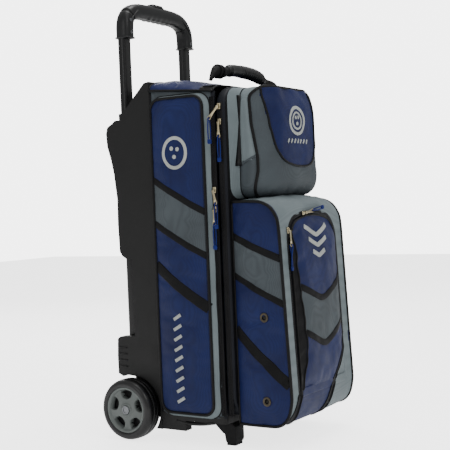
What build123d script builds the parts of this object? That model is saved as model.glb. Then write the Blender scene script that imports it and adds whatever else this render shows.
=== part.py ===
"""Rolling bowling bag for three balls, built as separate named pieces.

Frame: millimetres, +Z up, front of the bag towards -Y, width along X.
The pieces are drawn from a datum plane behind the door, and save() moves each one by
centre_shift_y, so that the origin is on the floor at the middle of the bag's footprint.
"left" is the -X side, which is on the left when the front is looked at.
"""

from build123d import *
import os
from math import asin, cos, pi, radians, sin, tan

os.makedirs("parts", exist_ok=True)

# ---------------------------------------------------------------- driving dimensions
SIDES = {"left": -1, "right": 1}

total_height = 930.0          # floor to the top of the raised handle
centre_shift_y = -10.55       # datum to the middle of the footprint
rear_y = 215.0                # back of the skid fins
body_half = 150.0             # half width of the ball section
wall = 12.0                   # padded side wall
pocket_thick = 10.0           # raised panel on each side

wheel_radius = 63.5           # 5 inch wheel
wheel_width = 45.2
wheel_out = 182.2             # outer side of each tyre
axle_y = 170.0
axle_z = wheel_radius
axle_radius = 6.0
running_gap = 0.05

body_front_y = -60.0          # front edge of the ball section
shell_front_y = 98.0          # where the moulded shell meets the fabric
plate_front_y = 156.0         # back plate of the shell
plate_thick = 4.0
floor_z = 46.0                # underside of the base tray
tray_top_z = 62.0
wall_top_rear_z = 716.0
wall_top_front_z = 700.0

ball_radius = 108.0           # 8.5 inch ball
cup_gap = 1.0

tube_x = 111.0                # the pull handle's two legs
tube_y = 186.0
inner_tube = (28.0, 19.0, 7.4)
tube_wall = 1.5
slide_gap = 0.2
outer_tube = (32.0, 23.0, 9.0)
housing_top_z = 668.0
collar_height = 16.0
socket_z = 843.5              # underside of the grip's sockets

door_back_y = -62.5
door_front_y = -82.0
door_half = 147.0
door_bottom_z = 56.0
door_top_z = 712.0
door_top_round = 34.0

shoe_half = 134.0
shoe_bottom_z = 49.0
shoe_top_z = 484.0
front_low = (-201.0, 110.0)   # (y, z) of the sloping front's lower edge
front_high = (-184.6, 468.0)  # and of its upper edge
flap_half = 97.0
flap_rise = 20.0
flap_thick = 11.0

pouch_half = 110.0
pouch_split_y = -96.5
pouch_front_y = -155.0
pouch_bottom_z = 492.0
pouch_top_z = 714.0

grip_radius = 13.0            # carrying handle on top
carry_y = -45.0
carry_z = 757.0

cord_dia = 2.6


def save(part, name):
    part = part.moved(Location((0, centre_shift_y, 0)))
    part.label = name
    export_step(part, f"parts/{name}.step")


def rounded(size, mode=Mode.ADD):
    return RectangleRounded(size[0], size[1], size[2], mode=mode)


def shrunk(size, gap):
    return (size[0] - 2 * gap, size[1] - 2 * gap, size[2] - gap)


def grown(size, gap):
    return (size[0] + 2 * gap, size[1] + 2 * gap, size[2] + gap)


# ---------------------------------------------------------------- moulded back shell
cheek_outline = [(shell_front_y, 24), (shell_front_y, 741), (110, 739), (144, 706), (165, 684),
                 (170, 676), (170, housing_top_z), (plate_front_y, housing_top_z),
                 (plate_front_y, 24)]
upper_fin = [(plate_front_y, 376), (173, 376), (185, 383), (191, 392), (193, 450), (192, 503),
             (198, 556), (204, 585), (213, 615), (rear_y, 642), (211, 655), (198, 662),
             (190, housing_top_z), (plate_front_y, housing_top_z)]
lower_fin = [(plate_front_y, 126), (175, 126), (196, 128), (208, 134), (208.5, 170),
             (206.5, 207), (200, 212), (189, 213), (plate_front_y, 214)]
hood_outline = [(shell_front_y, 729), (shell_front_y, 741), (110, 739), (144, 706), (165, 684),
                (170, 676), (170, housing_top_z), (plate_front_y, housing_top_z),
                (plate_front_y, 678), (105, 728)]
fin_inner = 128.5
arch_radius = 69.0
arch_inner = 133.0
liner_inner = 129.0
housing_back_y = 203.0
beam_back_y = 190.0

with BuildPart() as back_shell:
    for side in SIDES.values():
        with BuildSketch(Plane.YZ.offset(side * (body_half - wall / 2))):
            with BuildLine():
                Polyline(cheek_outline, close=True)
            make_face()
        extrude(amount=wall / 2, both=True)
        fin_half = (body_half - fin_inner) / 2
        for fin in (upper_fin, lower_fin):
            with BuildSketch(Plane.YZ.offset(side * (body_half - fin_half))):
                with BuildLine():
                    Polyline(fin, close=True)
                make_face()
            extrude(amount=fin_half, both=True)
    with BuildSketch(Plane.YZ):
        with BuildLine():
            Polyline(hood_outline, close=True)
        make_face()
    extrude(amount=body_half - wall, both=True)
    with Locations((0, plate_front_y + plate_thick / 2, (floor_z + housing_top_z) / 2)):
        Box(2 * body_half, plate_thick, housing_top_z - floor_z)
    # the two blocks that hold the tubes, and the raised panel between them
    for low, high in ((134.0, 200.0), (600.0, housing_top_z)):
        with Locations((0, (plate_front_y + housing_back_y) / 2, (low + high) / 2)):
            Box(2 * fin_inner, housing_back_y - plate_front_y, high - low)
    with Locations((0, plate_front_y + 11, 400)):
        Box(168, 22, 470)
    for side in SIDES.values():
        with BuildSketch(Plane.XY.offset(139.0)):
            with Locations((side * tube_x, tube_y)):
                rounded(outer_tube)
        extrude(amount=housing_top_z - 139.0, mode=Mode.SUBTRACT)
        arch_mid = arch_inner + 12.0
        with Locations(Location((side * arch_mid, axle_y, axle_z), (0, 90, 0))):
            Cylinder(radius=arch_radius, height=24, mode=Mode.SUBTRACT)
        with Locations((side * (liner_inner + arch_inner) / 2, 137, 93)):
            Box(arch_inner - liner_inner, 78, 98)
    # axle beam across the back of the base
    with Locations((0, (plate_front_y + beam_back_y) / 2, 65)):
        Box(2 * arch_inner, beam_back_y - plate_front_y, 42)
    with Locations(Location((0, axle_y, axle_z), (0, 90, 0))):
        Cylinder(radius=axle_radius + running_gap, height=2 * body_half, mode=Mode.SUBTRACT)
save(back_shell.part, "back_shell")

# ---------------------------------------------------------------- base
with BuildPart() as base_tray:
    with Locations((0, (body_front_y + shell_front_y) / 2, (floor_z + tray_top_z) / 2)):
        Box(2 * body_half, shell_front_y - body_front_y, tray_top_z - floor_z)
    rear_len = plate_front_y - shell_front_y
    with Locations((0, shell_front_y + rear_len / 2, (floor_z + tray_top_z) / 2)):
        Box(2 * liner_inner, rear_len, tray_top_z - floor_z)
    for side in SIDES.values():
        with Locations((side * 139.5, 68, 36)):
            Box(21, 58, 22)
    fillet(base_tray.edges().filter_by(Axis.Z).group_by(Axis.Y)[0], 8)
save(base_tray.part, "base_tray")

foot_half = 17.0
foot_x = 113.5
pad_height = 6.0
foot_outline = [(-12, floor_z), (-36, 24), (-40, 22), (-43, pad_height), (-66, pad_height),
                (-68, 12), (-68, 38), (body_front_y, floor_z)]
for name, side in SIDES.items():
    with BuildPart() as foot:
        with BuildSketch(Plane.YZ.offset(side * foot_x)):
            with BuildLine():
                Polyline(foot_outline, close=True)
            make_face()
        extrude(amount=foot_half, both=True)
    save(foot.part, f"foot_{name}")

with BuildPart() as foot_pads:
    with BuildSketch(Plane.XY):
        with Locations(*[(side * foot_x, -54.5) for side in SIDES.values()]):
            RectangleRounded(30, 22, 4)
    extrude(amount=pad_height)
save(foot_pads.part, "foot_pads")

# ---------------------------------------------------------------- ball section
wall_outline = [(body_front_y, tray_top_z), (shell_front_y, tray_top_z),
                (shell_front_y, wall_top_rear_z), (body_front_y, wall_top_front_z)]
for name, side in SIDES.items():
    with BuildPart() as side_wall:
        with BuildSketch(Plane.YZ.offset(side * (body_half - wall / 2))):
            with BuildLine():
                Polyline(wall_outline, close=True)
            make_face()
        extrude(amount=wall / 2, both=True)
    save(side_wall.part, f"side_wall_{name}")

    with BuildPart() as side_pocket:
        with BuildSketch(Plane.YZ.offset(side * (body_half + pocket_thick / 2))):
            with Locations((29.25, 377)):
                RectangleRounded(133.5, 646, 14)
        extrude(amount=pocket_thick / 2, both=True)
        fillet(side_pocket.faces().sort_by(Axis.X)[-1 if side > 0 else 0].edges(), 6)
    save(side_pocket.part, f"side_pocket_{name}")

top_depth = shell_front_y - body_front_y
top_drop = wall_top_rear_z - wall_top_front_z
top_dir = Vector(0, -top_depth, -top_drop)
with BuildPart() as body_top:
    with BuildSketch(Plane.XZ.offset(-shell_front_y)):
        with BuildLine():
            Polyline((-body_half + wall, wall_top_rear_z), (-body_half, wall_top_rear_z),
                     (-body_half, wall_top_rear_z + 6))
            ThreePointArc((-body_half, wall_top_rear_z + 6), (0, 742),
                          (body_half, wall_top_rear_z + 6))
            Polyline((body_half, wall_top_rear_z + 6), (body_half, wall_top_rear_z),
                     (body_half - wall, wall_top_rear_z))
            ThreePointArc((body_half - wall, wall_top_rear_z), (0, 736),
                          (-body_half + wall, wall_top_rear_z))
        make_face()
    extrude(amount=top_dir.length, dir=top_dir.normalized())
save(body_top.part, "body_top")

# foam cups that hold the three stacked balls
ball_y = 46.0
first_ball_z = tray_top_z + ball_radius
cup_levels = {"ball_cup_lower": (tray_top_z, 104.0, 0),
              "ball_cup_middle": (258.0, 298.0, 1),
              "ball_cup_upper": (474.0, 514.0, 2)}
for name, (low, high, level) in cup_levels.items():
    with BuildPart() as ball_cup:
        # the moulded wheel wells narrow the space behind the fabric walls
        front_len = shell_front_y - body_front_y
        with Locations((0, body_front_y + front_len / 2, (low + high) / 2)):
            Box(2 * (body_half - wall - 1), front_len, high - low)
        with Locations((0, shell_front_y + rear_len / 2 - 0.5, (low + high) / 2)):
            Box(2 * (liner_inner - 1), rear_len - 1, high - low)
        ball_centres = [(0, ball_y, first_ball_z + 2 * ball_radius * step)
                        for step in (level - 1, level)]
        with Locations(*ball_centres):
            Sphere(ball_radius + cup_gap, mode=Mode.SUBTRACT)
        # open towards the door, so that a ball rolls straight in
        mouths = [Location((0, ball_y - 70, z), (90, 0, 0)) for _, _, z in ball_centres]
        with Locations(*mouths):
            Cylinder(radius=ball_radius + cup_gap, height=140, mode=Mode.SUBTRACT)
    save(ball_cup.part, name)

# ---------------------------------------------------------------- pull handle
inner_bottom_z = 312.0
inner_top_z = 872.0
with BuildPart() as tube_collars:
    for side in SIDES.values():
        with BuildSketch(Plane.XY.offset(housing_top_z)):
            with Locations((side * tube_x, tube_y)):
                RectangleRounded(38, 29, 12)
                rounded(grown(inner_tube, slide_gap), Mode.SUBTRACT)
        extrude(amount=collar_height)
save(tube_collars.part, "tube_collars")

for name, side in SIDES.items():
    with BuildPart() as outer_leg:
        with BuildSketch(Plane.XY.offset(139.0)):
            with Locations((side * tube_x, tube_y)):
                rounded(outer_tube)
                rounded(grown(inner_tube, slide_gap), Mode.SUBTRACT)
        extrude(amount=housing_top_z - 139.0)
    save(outer_leg.part, f"outer_tube_{name}")

    with BuildPart() as inner_leg:
        with BuildSketch(Plane.XY.offset(inner_bottom_z)):
            with Locations((side * tube_x, tube_y)):
                rounded(inner_tube)
                rounded(shrunk(inner_tube, tube_wall), Mode.SUBTRACT)
        extrude(amount=inner_top_z - inner_bottom_z)
    save(inner_leg.part, f"inner_tube_{name}")

grip_y = 183.0
grip_depth = 36.0
grip_top_z = 926.0
button_size = (40.0, 18.0, 5.0)
button_bottom_z = 914.0
grip_outer = [(128, socket_z), (130, 880), (126, 900), (110, 915), (80, 923), (30, grip_top_z)]
grip_inner = [(94, socket_z), (94, 868), (84, 884), (60, 891)]
grip_ring = grip_outer + [(-x, z) for x, z in reversed(grip_outer)]
grip_ring += [(-x, z) for x, z in grip_inner] + list(reversed(grip_inner))
with BuildPart() as grip:
    with BuildSketch(Plane.XZ.offset(-grip_y)):
        with BuildLine():
            Polyline(grip_ring, close=True)
        make_face()
    extrude(amount=grip_depth / 2, both=True)
    for face in (grip.faces().sort_by(Axis.Y)[0], grip.faces().sort_by(Axis.Y)[-1]):
        chamfer(face.edges(), 6)
    with BuildSketch(Plane.XY.offset(socket_z)):
        with Locations(*[(side * tube_x, tube_y) for side in SIDES.values()]):
            rounded(inner_tube)
    extrude(amount=inner_top_z - socket_z, mode=Mode.SUBTRACT)
    with BuildSketch(Plane.XY.offset(button_bottom_z - 6)):
        with Locations((0, grip_y)):
            rounded(grown(button_size, 0.3))
    extrude(amount=30, mode=Mode.SUBTRACT)
    screw_places = [(side * tube_x, grip_y - grip_depth / 2 + 1.5, z)
                    for side in SIDES.values() for z in (856.0, 882.0)]
    with Locations(*[Location(place, (90, 0, 0)) for place in screw_places]):
        Cylinder(radius=3.4, height=3, mode=Mode.SUBTRACT)
save(grip.part, "grip")

with BuildPart() as grip_screws:
    with Locations(*[Location(place, (90, 0, 0)) for place in screw_places]):
        Cylinder(radius=3.4, height=3)
        with Locations((0, 0, 1.5)):
            Box(4.5, 1.0, 1.6, mode=Mode.SUBTRACT)
save(grip_screws.part, "grip_screws")

with BuildPart() as release_button:
    with BuildSketch(Plane.XY.offset(button_bottom_z)):
        with Locations((0, grip_y)):
            rounded(button_size)
    extrude(amount=total_height - button_bottom_z)
    fillet(release_button.faces().sort_by(Axis.Z)[-1].edges(), 2)
save(release_button.part, "release_button")

# ---------------------------------------------------------------- wheels
axle_line = Axis((0, axle_y, axle_z), (1, 0, 0))
tyre_in = wheel_out - wheel_width
rim_radius = 48.0
hub_radius = 17.0
bearing_radius = 11.0
bearing_starts = (142.0, 169.0)
bearing_width = 7.0


def axle_plane():
    """Sketch plane through the axle: x runs along it, y is the radius."""
    return Plane(origin=(0, axle_y, axle_z), x_dir=(1, 0, 0), z_dir=(0, -1, 0))


def ring(start, end, inner, outer, side):
    """Rectangle that revolves into a ring between two places along the axle."""
    with Locations((side * (start + end) / 2, (inner + outer) / 2)):
        Rectangle(end - start, outer - inner)


for name, side in SIDES.items():
    with BuildPart() as tyre:
        with BuildSketch(axle_plane()) as tyre_section:
            ring(tyre_in, wheel_out, rim_radius, wheel_radius, side)
            fillet(tyre_section.vertices().group_by(Axis.Y)[-1], 11)
        revolve(axis=axle_line, revolution_arc=360)
    save(tyre.part, f"tyre_{name}")

    with BuildPart() as rim:
        with BuildSketch(axle_plane()):
            ring(139.5, 180.5, 43.5, rim_radius, side)
            ring(160.0, 168.0, hub_radius, 44.0, side)
            ring(141.0, 178.0, bearing_radius, hub_radius, side)
            ring(150.0, 168.0, axle_radius + 1.0, bearing_radius, side)
        revolve(axis=axle_line, revolution_arc=360)
        # five windows between the spokes
        with BuildSketch(Plane(origin=(side * 150, axle_y, axle_z), x_dir=(0, 1, 0),
                               z_dir=(side, 0, 0))):
            with PolarLocations(33.0, 5, start_angle=18):
                SlotOverall(24, 13, rotation=90)
        extrude(amount=25, mode=Mode.SUBTRACT)
    save(rim.part, f"rim_{name}")

    with BuildPart() as wheel_bearings:
        with BuildSketch(axle_plane()):
            for start in bearing_starts:
                ring(start, start + bearing_width, axle_radius + running_gap,
                     bearing_radius, side)
        revolve(axis=axle_line, revolution_arc=360)
    save(wheel_bearings.part, f"wheel_bearings_{name}")

with BuildPart() as axle:
    with BuildSketch(axle_plane()):
        ring(-179.0, 179.0, 0, axle_radius, 1)
    revolve(axis=axle_line, revolution_arc=360)
save(axle.part, "axle")

with BuildPart() as axle_nuts:
    with BuildSketch(axle_plane()):
        for side in SIDES.values():
            ring(176.5, 180.5, axle_radius, 9.0, side)
    revolve(axis=axle_line, revolution_arc=360)
save(axle_nuts.part, "axle_nuts")

# ---------------------------------------------------------------- front door of the ball section
with BuildPart() as door_panel:
    with Locations((0, (door_back_y + door_front_y) / 2, (door_bottom_z + door_top_z) / 2)):
        Box(2 * door_half, door_back_y - door_front_y, door_top_z - door_bottom_z)
    door_edges = door_panel.edges().filter_by(Axis.Y).group_by(Axis.Z)
    fillet(door_edges[-1], door_top_round)
    fillet(door_edges[0], 10)
save(door_panel.part, "door_panel")

shoe_outline = [(door_front_y, shoe_bottom_z), (-168, shoe_bottom_z), (-190, 66), front_low,
                front_high, (-172, shoe_top_z), (door_front_y, shoe_top_z)]
shoe_cavity = [(door_front_y, shoe_bottom_z + 8), (-166, shoe_bottom_z + 8), (-183, 72),
               (-193, 110), (-177, 462), (-168, shoe_top_z - 8), (door_front_y, shoe_top_z - 8)]
shoe_wall = 8.0
front_plane = Plane(origin=(0, front_low[0], front_low[1]), x_dir=(1, 0, 0),
                    z_dir=(0, -(front_high[1] - front_low[1]), front_high[0] - front_low[0]))
flap_low = 2.0
flap_high = 347.0


def arch(half, low, high, rise, corner):
    """Window shape: straight sides, a shallow arc on top, rounded corners."""
    with BuildLine() as outline:
        Polyline((-half, high - rise), (-half, low), (half, low), (half, high - rise))
        ThreePointArc((half, high - rise), (0, high), (-half, high - rise))
    face = make_face(outline.edges())
    fillet(face.vertices().group_by(Axis.Y)[-1], corner)


with BuildPart() as shoe_compartment:
    with BuildSketch(Plane.YZ):
        with BuildLine():
            Polyline(shoe_outline, close=True)
        make_face()
    extrude(amount=shoe_half, both=True)
    with BuildSketch(Plane.YZ):
        with BuildLine():
            Polyline(shoe_cavity, close=True)
        make_face()
    extrude(amount=shoe_half - shoe_wall, both=True, mode=Mode.SUBTRACT)
    with BuildSketch(front_plane):
        arch(flap_half - 6, flap_low + 8, flap_high - 6, flap_rise, 26)
    extrude(amount=-30, mode=Mode.SUBTRACT)
save(shoe_compartment.part, "shoe_compartment")

with BuildPart() as shoe_flap:
    with BuildSketch(front_plane.offset(0.4)):
        arch(flap_half, flap_low, flap_high, flap_rise, 30)
    extrude(amount=flap_thick)
    chamfer(shoe_flap.faces().sort_by(Axis.Y)[0].edges(), 4)
save(shoe_flap.part, "shoe_flap")

zip_height = 1.5
zip_inset = 0.6
zip_band = 9.0
with BuildPart() as flap_zip:
    with BuildSketch(front_plane):
        arch(flap_half + zip_band, flap_low, flap_high + zip_band, flap_rise, 38)
        with BuildSketch(front_plane, mode=Mode.SUBTRACT):
            arch(flap_half + zip_inset, flap_low - 1, flap_high + zip_inset, flap_rise, 30)
    extrude(amount=zip_height)
save(flap_zip.part, "flap_zip")

grommet_places = [(-150.0, 260.0), (-152.0, 99.5)]
with BuildPart() as grommets:
    for side in SIDES.values():
        with BuildSketch(Plane.YZ.offset(side * shoe_half)):
            with Locations(*grommet_places):
                Circle(10)
                Circle(5, mode=Mode.SUBTRACT)
        extrude(amount=side * 1.5)
save(grommets.part, "grommets")

# ---------------------------------------------------------------- accessory pouch
with BuildPart() as accessory_pouch:
    with Locations((0, (door_front_y + pouch_split_y + 0.5) / 2, (pouch_bottom_z + pouch_top_z) / 2)):
        Box(2 * pouch_half, door_front_y - pouch_split_y - 0.5, pouch_top_z - pouch_bottom_z)
    fillet(accessory_pouch.edges().filter_by(Axis.Y), 12)
save(accessory_pouch.part, "accessory_pouch")

with BuildPart() as pouch_lid:
    lid_depth = pouch_split_y - pouch_front_y
    lid_height = pouch_top_z - pouch_bottom_z - 2
    lid_mid_z = (pouch_bottom_z + pouch_top_z) / 2
    with Locations((0, pouch_split_y - lid_depth / 2, lid_mid_z)):
        Box(2 * pouch_half - 2, lid_depth, lid_height)
    fillet(pouch_lid.edges().filter_by(Axis.Y), 14)
    fillet(pouch_lid.faces().sort_by(Axis.Y)[0].edges(), 12)
    with Locations((0, pouch_split_y - lid_depth / 2 + 4, lid_mid_z)):
        Box(2 * pouch_half - 18, lid_depth - 8, lid_height - 16, mode=Mode.SUBTRACT)
save(pouch_lid.part, "pouch_lid")

# ---------------------------------------------------------------- carrying handle on top
strap_width = 20.0
strap_thick = 3.0
strap_path = [(-134, 730), (-122, 742), (-100, 752), (-70, carry_z), (70, carry_z),
              (100, 752), (122, 742), (134, 730)]
grip_half_length = 66.0
with BuildPart() as carry_strap:
    with BuildSketch(Plane.XZ.offset(-carry_y)):
        with BuildLine():
            route = Polyline(strap_path)
        trace(route, line_width=strap_thick)
    extrude(amount=strap_width / 2, both=True)
save(carry_strap.part, "carry_strap")

with BuildPart() as carry_grip:
    with Locations(Location((0, carry_y, carry_z), (0, 90, 0))):
        Cylinder(radius=grip_radius, height=2 * grip_half_length)
    with Locations((0, carry_y, carry_z)):
        Box(2 * grip_half_length, strap_width + 0.2, strap_thick + 0.2, mode=Mode.SUBTRACT)
save(carry_grip.part, "carry_grip")

anchor_bottom_z = 716.2
anchor_top_z = 719.4
with BuildPart() as handle_anchors:
    with Locations(*[(side * 133, carry_y, (anchor_bottom_z + anchor_top_z) / 2)
                     for side in SIDES.values()]):
        Box(26, 24, anchor_top_z - anchor_bottom_z)
save(handle_anchors.part, "handle_anchors")

# ---------------------------------------------------------------- zips, sliders and pulls
zip_low_z = 70.0
rear_zip_y = -55.5
front_zip_y = -71.5
for name, zip_y, surface_x, zip_top in (("rear_zip", rear_zip_y, body_half, 696.0),
                                        ("front_zip", front_zip_y, door_half, 684.0)):
    with BuildPart() as main_zip:
        with Locations((-surface_x - zip_height / 2, zip_y, (zip_low_z + zip_top) / 2)):
            Box(zip_height, 6, zip_top - zip_low_z)
    save(main_zip.part, name)

slider_size = (5.0, 8.0, 12.0)
slider_gap = 0.15
pull_thick = 1.6
pull_width = 8.0
pull_back = 0.5               # how far the pull reaches behind its own hinge line
pull_reach = 31.0             # and how far ahead of it
pull_hole_at = 27.4
pull_hole = 2.3
strand_half = 2.9
bead_size = (8.4, 4.4, 2.0)
bead_length = 9.0


def slider_frame(place, down, out):
    """Plane with x along the pull, y across it and z out of the fabric."""
    return Plane(origin=place, x_dir=down, z_dir=out)


def loop_points(frame, hole_distance):
    """Route of a doubled cord: up one strand, through the pull's hole, down the other."""
    fall = gravity_axis(frame)
    out = frame.z_dir
    across = fall.cross(out).normalized()
    hole = frame.origin + frame.x_dir * hole_distance + out * (pull_thick / 2)
    level_out = (out - fall * out.dot(fall)).normalized()
    steps = [(40.0, -0.2, 2.2), (26.0, -0.9, 2.6), (13.0, -2.2, 1.5), (4.4, -2.9, 0.3)]
    back = [hole + fall * drop + level_out * shift - across * spread
            for drop, shift, spread in steps]
    front = [hole + fall * drop - level_out * shift + across * spread
             for drop, shift, spread in reversed(steps)]
    top_back = hole - fall * 1.4 - level_out * strand_half
    top_front = hole - fall * 1.4 + level_out * strand_half
    return back + [top_back, top_front] + front


def gravity_axis(frame):
    """Direction in which the cord runs on from the pull: down, or along a lying pull."""
    down = Vector(0, 0, -1)
    return down if frame.x_dir.dot(down) > 0.3 else frame.x_dir


def corner_radii(points):
    """Largest arc each corner of a cord's route has room for."""
    radii = []
    for before, here, after in zip(points, points[1:], points[2:]):
        first = here - before
        second = after - here
        turn = radians(first.get_angle(second))
        radii.append(0.45 * min(first.length, second.length) / tan(turn / 2))
    return radii


# name: (body side, slider centre, direction of the pull, way out of the fabric)
slope = Vector(0, front_high[0] - front_low[0], front_high[1] - front_low[1]).normalized()
front_out = front_plane.z_dir
west = Vector(-1, 0, 0)


def on_front(x, v):
    """Point on the sloping front: x across, v up the slope from its lower edge."""
    return front_plane.origin + Vector(x, 0, 0) + slope * v


arc_radius = (flap_half**2 + flap_rise**2) / (2 * flap_rise)
arc_centre_v = flap_high - arc_radius
zip_offset = 4.9
zip_arc_radius = arc_radius + zip_offset
crown_x = -32.0
crown_angle = asin(crown_x / zip_arc_radius)
crown_v = arc_centre_v + zip_arc_radius * cos(crown_angle)
crown_down = Vector(1, 0, 0) * cos(crown_angle) - slope * sin(crown_angle)
leg_v = 318.0

sliders = {
    "front_upper": (Vector(-door_half, front_zip_y, 676), (0, 0, -1), west,
                    Vector(-0.30, 0.56, -0.83)),
    "front_lower": (Vector(-door_half, front_zip_y, 646), (0, 0, -1), west,
                    Vector(0, 0, -1)),
    "rear_upper": (Vector(-body_half, rear_zip_y, 512), (0, 0, -1), west,
                   Vector(-0.24, -0.34, -0.91)),
    "rear_lower": (Vector(-body_half, rear_zip_y, 474), (0, 0, -1), west,
                   Vector(0, 0, -1)),
    "flap_side": (on_front(-flap_half - zip_offset, leg_v), tuple(-slope), front_out, -slope),
    "flap_top": (on_front(crown_x, crown_v), tuple(crown_down), front_out, crown_down),
}

for name, (place, along, out, hang) in sliders.items():
    out = Vector(out).normalized()
    along = Vector(along).normalized()
    seat = Plane(origin=place + out * (zip_height + slider_gap), x_dir=along, z_dir=out)
    with BuildPart() as slider:
        with BuildSketch(seat):
            RectangleRounded(slider_size[2], slider_size[1], 2.5)
        extrude(amount=slider_size[0])
    save(slider.part, f"slider_{name}")

    hang = Vector(hang).normalized()
    lean_room = 3.6 * max(0.0, hang.dot(out))
    start = place + out * (zip_height + slider_gap + slider_size[0] + 0.4 + lean_room) + along
    pull_out = (out - hang * out.dot(hang)).normalized()
    tab = Plane(origin=start, x_dir=hang, z_dir=pull_out)
    with BuildPart() as pull:
        with BuildSketch(tab):
            with Locations(((pull_reach - pull_back) / 2, 0)):
                RectangleRounded(pull_reach + pull_back, pull_width, 2)
            with Locations((pull_hole_at, 0)):
                Circle(pull_hole, mode=Mode.SUBTRACT)
        extrude(amount=pull_thick)
    save(pull.part, f"pull_{name}")

    route_points = loop_points(tab, pull_hole_at + 1.4)
    radii = corner_radii(route_points)
    print(f"cord_{name}: radii", [round(radius, 1) for radius in radii])
    print("   points", [tuple(round(c, 1) for c in point) for point in route_points])
    with BuildPart() as cord:
        with BuildLine() as path:
            FilletPolyline(*route_points, radius=radii)
        start_plane = Plane(origin=path.wire() @ 0, z_dir=path.wire() % 0)
        with BuildSketch(start_plane):
            Circle(cord_dia / 2)
        sweep(path=path.wire())
        # sleeve that clamps the cord's two ends
        ends = route_points[0], route_points[-1]
        fall = gravity_axis(tab)
        sleeve_at = (ends[0] + ends[1]) / 2 + fall * (cord_dia / 4)
        with BuildSketch(Plane(origin=sleeve_at, x_dir=ends[1] - ends[0], z_dir=fall)):
            RectangleRounded(*bead_size)
        extrude(amount=bead_length)
    tube_volume = cord.part.solids().sort_by(SortBy.VOLUME)[-1].volume
    tube_length = path.wire().length
    print("   length", round(tube_length, 1), "volume ratio",
          round(tube_volume / (tube_length * pi * cord_dia**2 / 4), 4))
    save(cord.part, f"cord_{name}")
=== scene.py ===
"""Looks of the rolling bowling bag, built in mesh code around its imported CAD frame.

Lengths are metres in the row frame: +Z up, the bag's front towards -Y, width along X.
Shapes are written in millimetres and turned into metres by mm().
"""
import bpy
import bmesh
from math import asin, cos, pi, radians, sin, sqrt
from mathutils import Matrix, Vector, noise
from mathutils.bvhtree import BVHTree


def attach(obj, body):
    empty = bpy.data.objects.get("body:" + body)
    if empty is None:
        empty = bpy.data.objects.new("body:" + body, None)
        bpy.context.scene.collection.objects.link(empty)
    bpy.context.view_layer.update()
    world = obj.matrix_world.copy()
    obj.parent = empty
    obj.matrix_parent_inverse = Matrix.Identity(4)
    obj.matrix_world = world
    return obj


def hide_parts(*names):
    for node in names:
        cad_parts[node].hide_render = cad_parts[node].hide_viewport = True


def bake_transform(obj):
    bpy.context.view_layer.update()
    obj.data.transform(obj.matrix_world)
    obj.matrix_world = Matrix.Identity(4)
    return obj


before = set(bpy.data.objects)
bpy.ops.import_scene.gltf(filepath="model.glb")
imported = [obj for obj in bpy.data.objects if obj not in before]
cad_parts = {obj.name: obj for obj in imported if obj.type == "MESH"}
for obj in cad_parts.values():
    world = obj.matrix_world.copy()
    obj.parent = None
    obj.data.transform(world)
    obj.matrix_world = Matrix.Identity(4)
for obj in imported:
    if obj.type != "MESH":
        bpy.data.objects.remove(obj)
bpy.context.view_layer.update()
SIDES = {"left": -1, "right": 1}
MM = 0.001
BAND_THICK = 0.0011
BADGE_THICK = 0.0012
STITCH_PITCH = 0.0042
UP = Vector((0, 0, 1))


def mm(x, y, z):
    return Vector((x, y, z)) * MM


def clamp(value, low=0.0, high=1.0):
    return max(low, min(high, value))


def lerp(a, b, t):
    return a + (b - a) * t


def smooth(t):
    t = clamp(t)
    return t * t * (3 - 2 * t)


def table(points, x):
    """Value at x of a line drawn through (x, value) points with rising x."""
    if x <= points[0][0]:
        return points[0][1]
    for (x0, y0), (x1, y1) in zip(points, points[1:]):
        if x <= x1:
            return lerp(y0, y1, (x - x0) / (x1 - x0))
    return points[-1][1]


def curve_through(points, count):
    """Catmull-Rom line through points, with count steps in each span."""
    pts = [Vector(p) for p in points]
    n = len(pts)
    out = []
    for i in range(n - 1):
        p1, p2 = pts[i], pts[i + 1]
        p0 = pts[i - 1] if i else 2 * p1 - p2
        p3 = pts[i + 2] if i < n - 2 else 2 * p2 - p1
        for k in range(count):
            t = k / count
            out.append(0.5 * (2 * p1 + (p2 - p0) * t + (2 * p0 - 5 * p1 + 4 * p2 - p3) * t**2
                              + (3 * p1 - p0 - 3 * p2 + p3) * t**3))
    return out + [pts[-1]]


def evened(line, step, closed=False):
    """The same line with points about step apart."""
    pts = list(line) + ([line[0]] if closed else [])
    lengths = [0.0]
    for a, b in zip(pts, pts[1:]):
        lengths.append(lengths[-1] + (b - a).length)
    count = max(2, round(lengths[-1] / step))
    out, i = [], 0
    for k in range(count + (0 if closed else 1)):
        at = lengths[-1] * k / count
        while i < len(pts) - 2 and lengths[i + 1] < at:
            i += 1
        span = lengths[i + 1] - lengths[i]
        out.append(pts[i].lerp(pts[i + 1], (at - lengths[i]) / span if span else 0))
    return out


def squarish(value, power):
    """A sine or cosine pushed outwards by a power under 1, with its sign kept."""
    return abs(value) ** power * (1 if value > 0 else -1)


def oval(centre, across, upward, count, power=1.0):
    """Loop of points round a centre from its two half-axes; a power under 1 squares it."""
    return [centre + across * squarish(cos(a), power) + upward * squarish(sin(a), power)
            for a in (2 * pi * k / count for k in range(count))]


def heading(line, i, closed=False):
    """Direction of a line at its point i, from the points beside it."""
    if closed:
        return line[(i + 1) % len(line)] - line[i - 1]
    return line[min(i + 1, len(line) - 1)] - line[max(i - 1, 0)]


# ---------------------------------------------------------------- materials
def linear(red, green, blue):
    """Scene-linear colour with alpha from sRGB values of 0 to 255."""
    channels = [c / 255 for c in (red, green, blue)]
    return tuple(c / 12.92 if c < 0.04 else ((c + 0.055) / 1.055) ** 2.4
                 for c in channels) + (1.0,)


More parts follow.
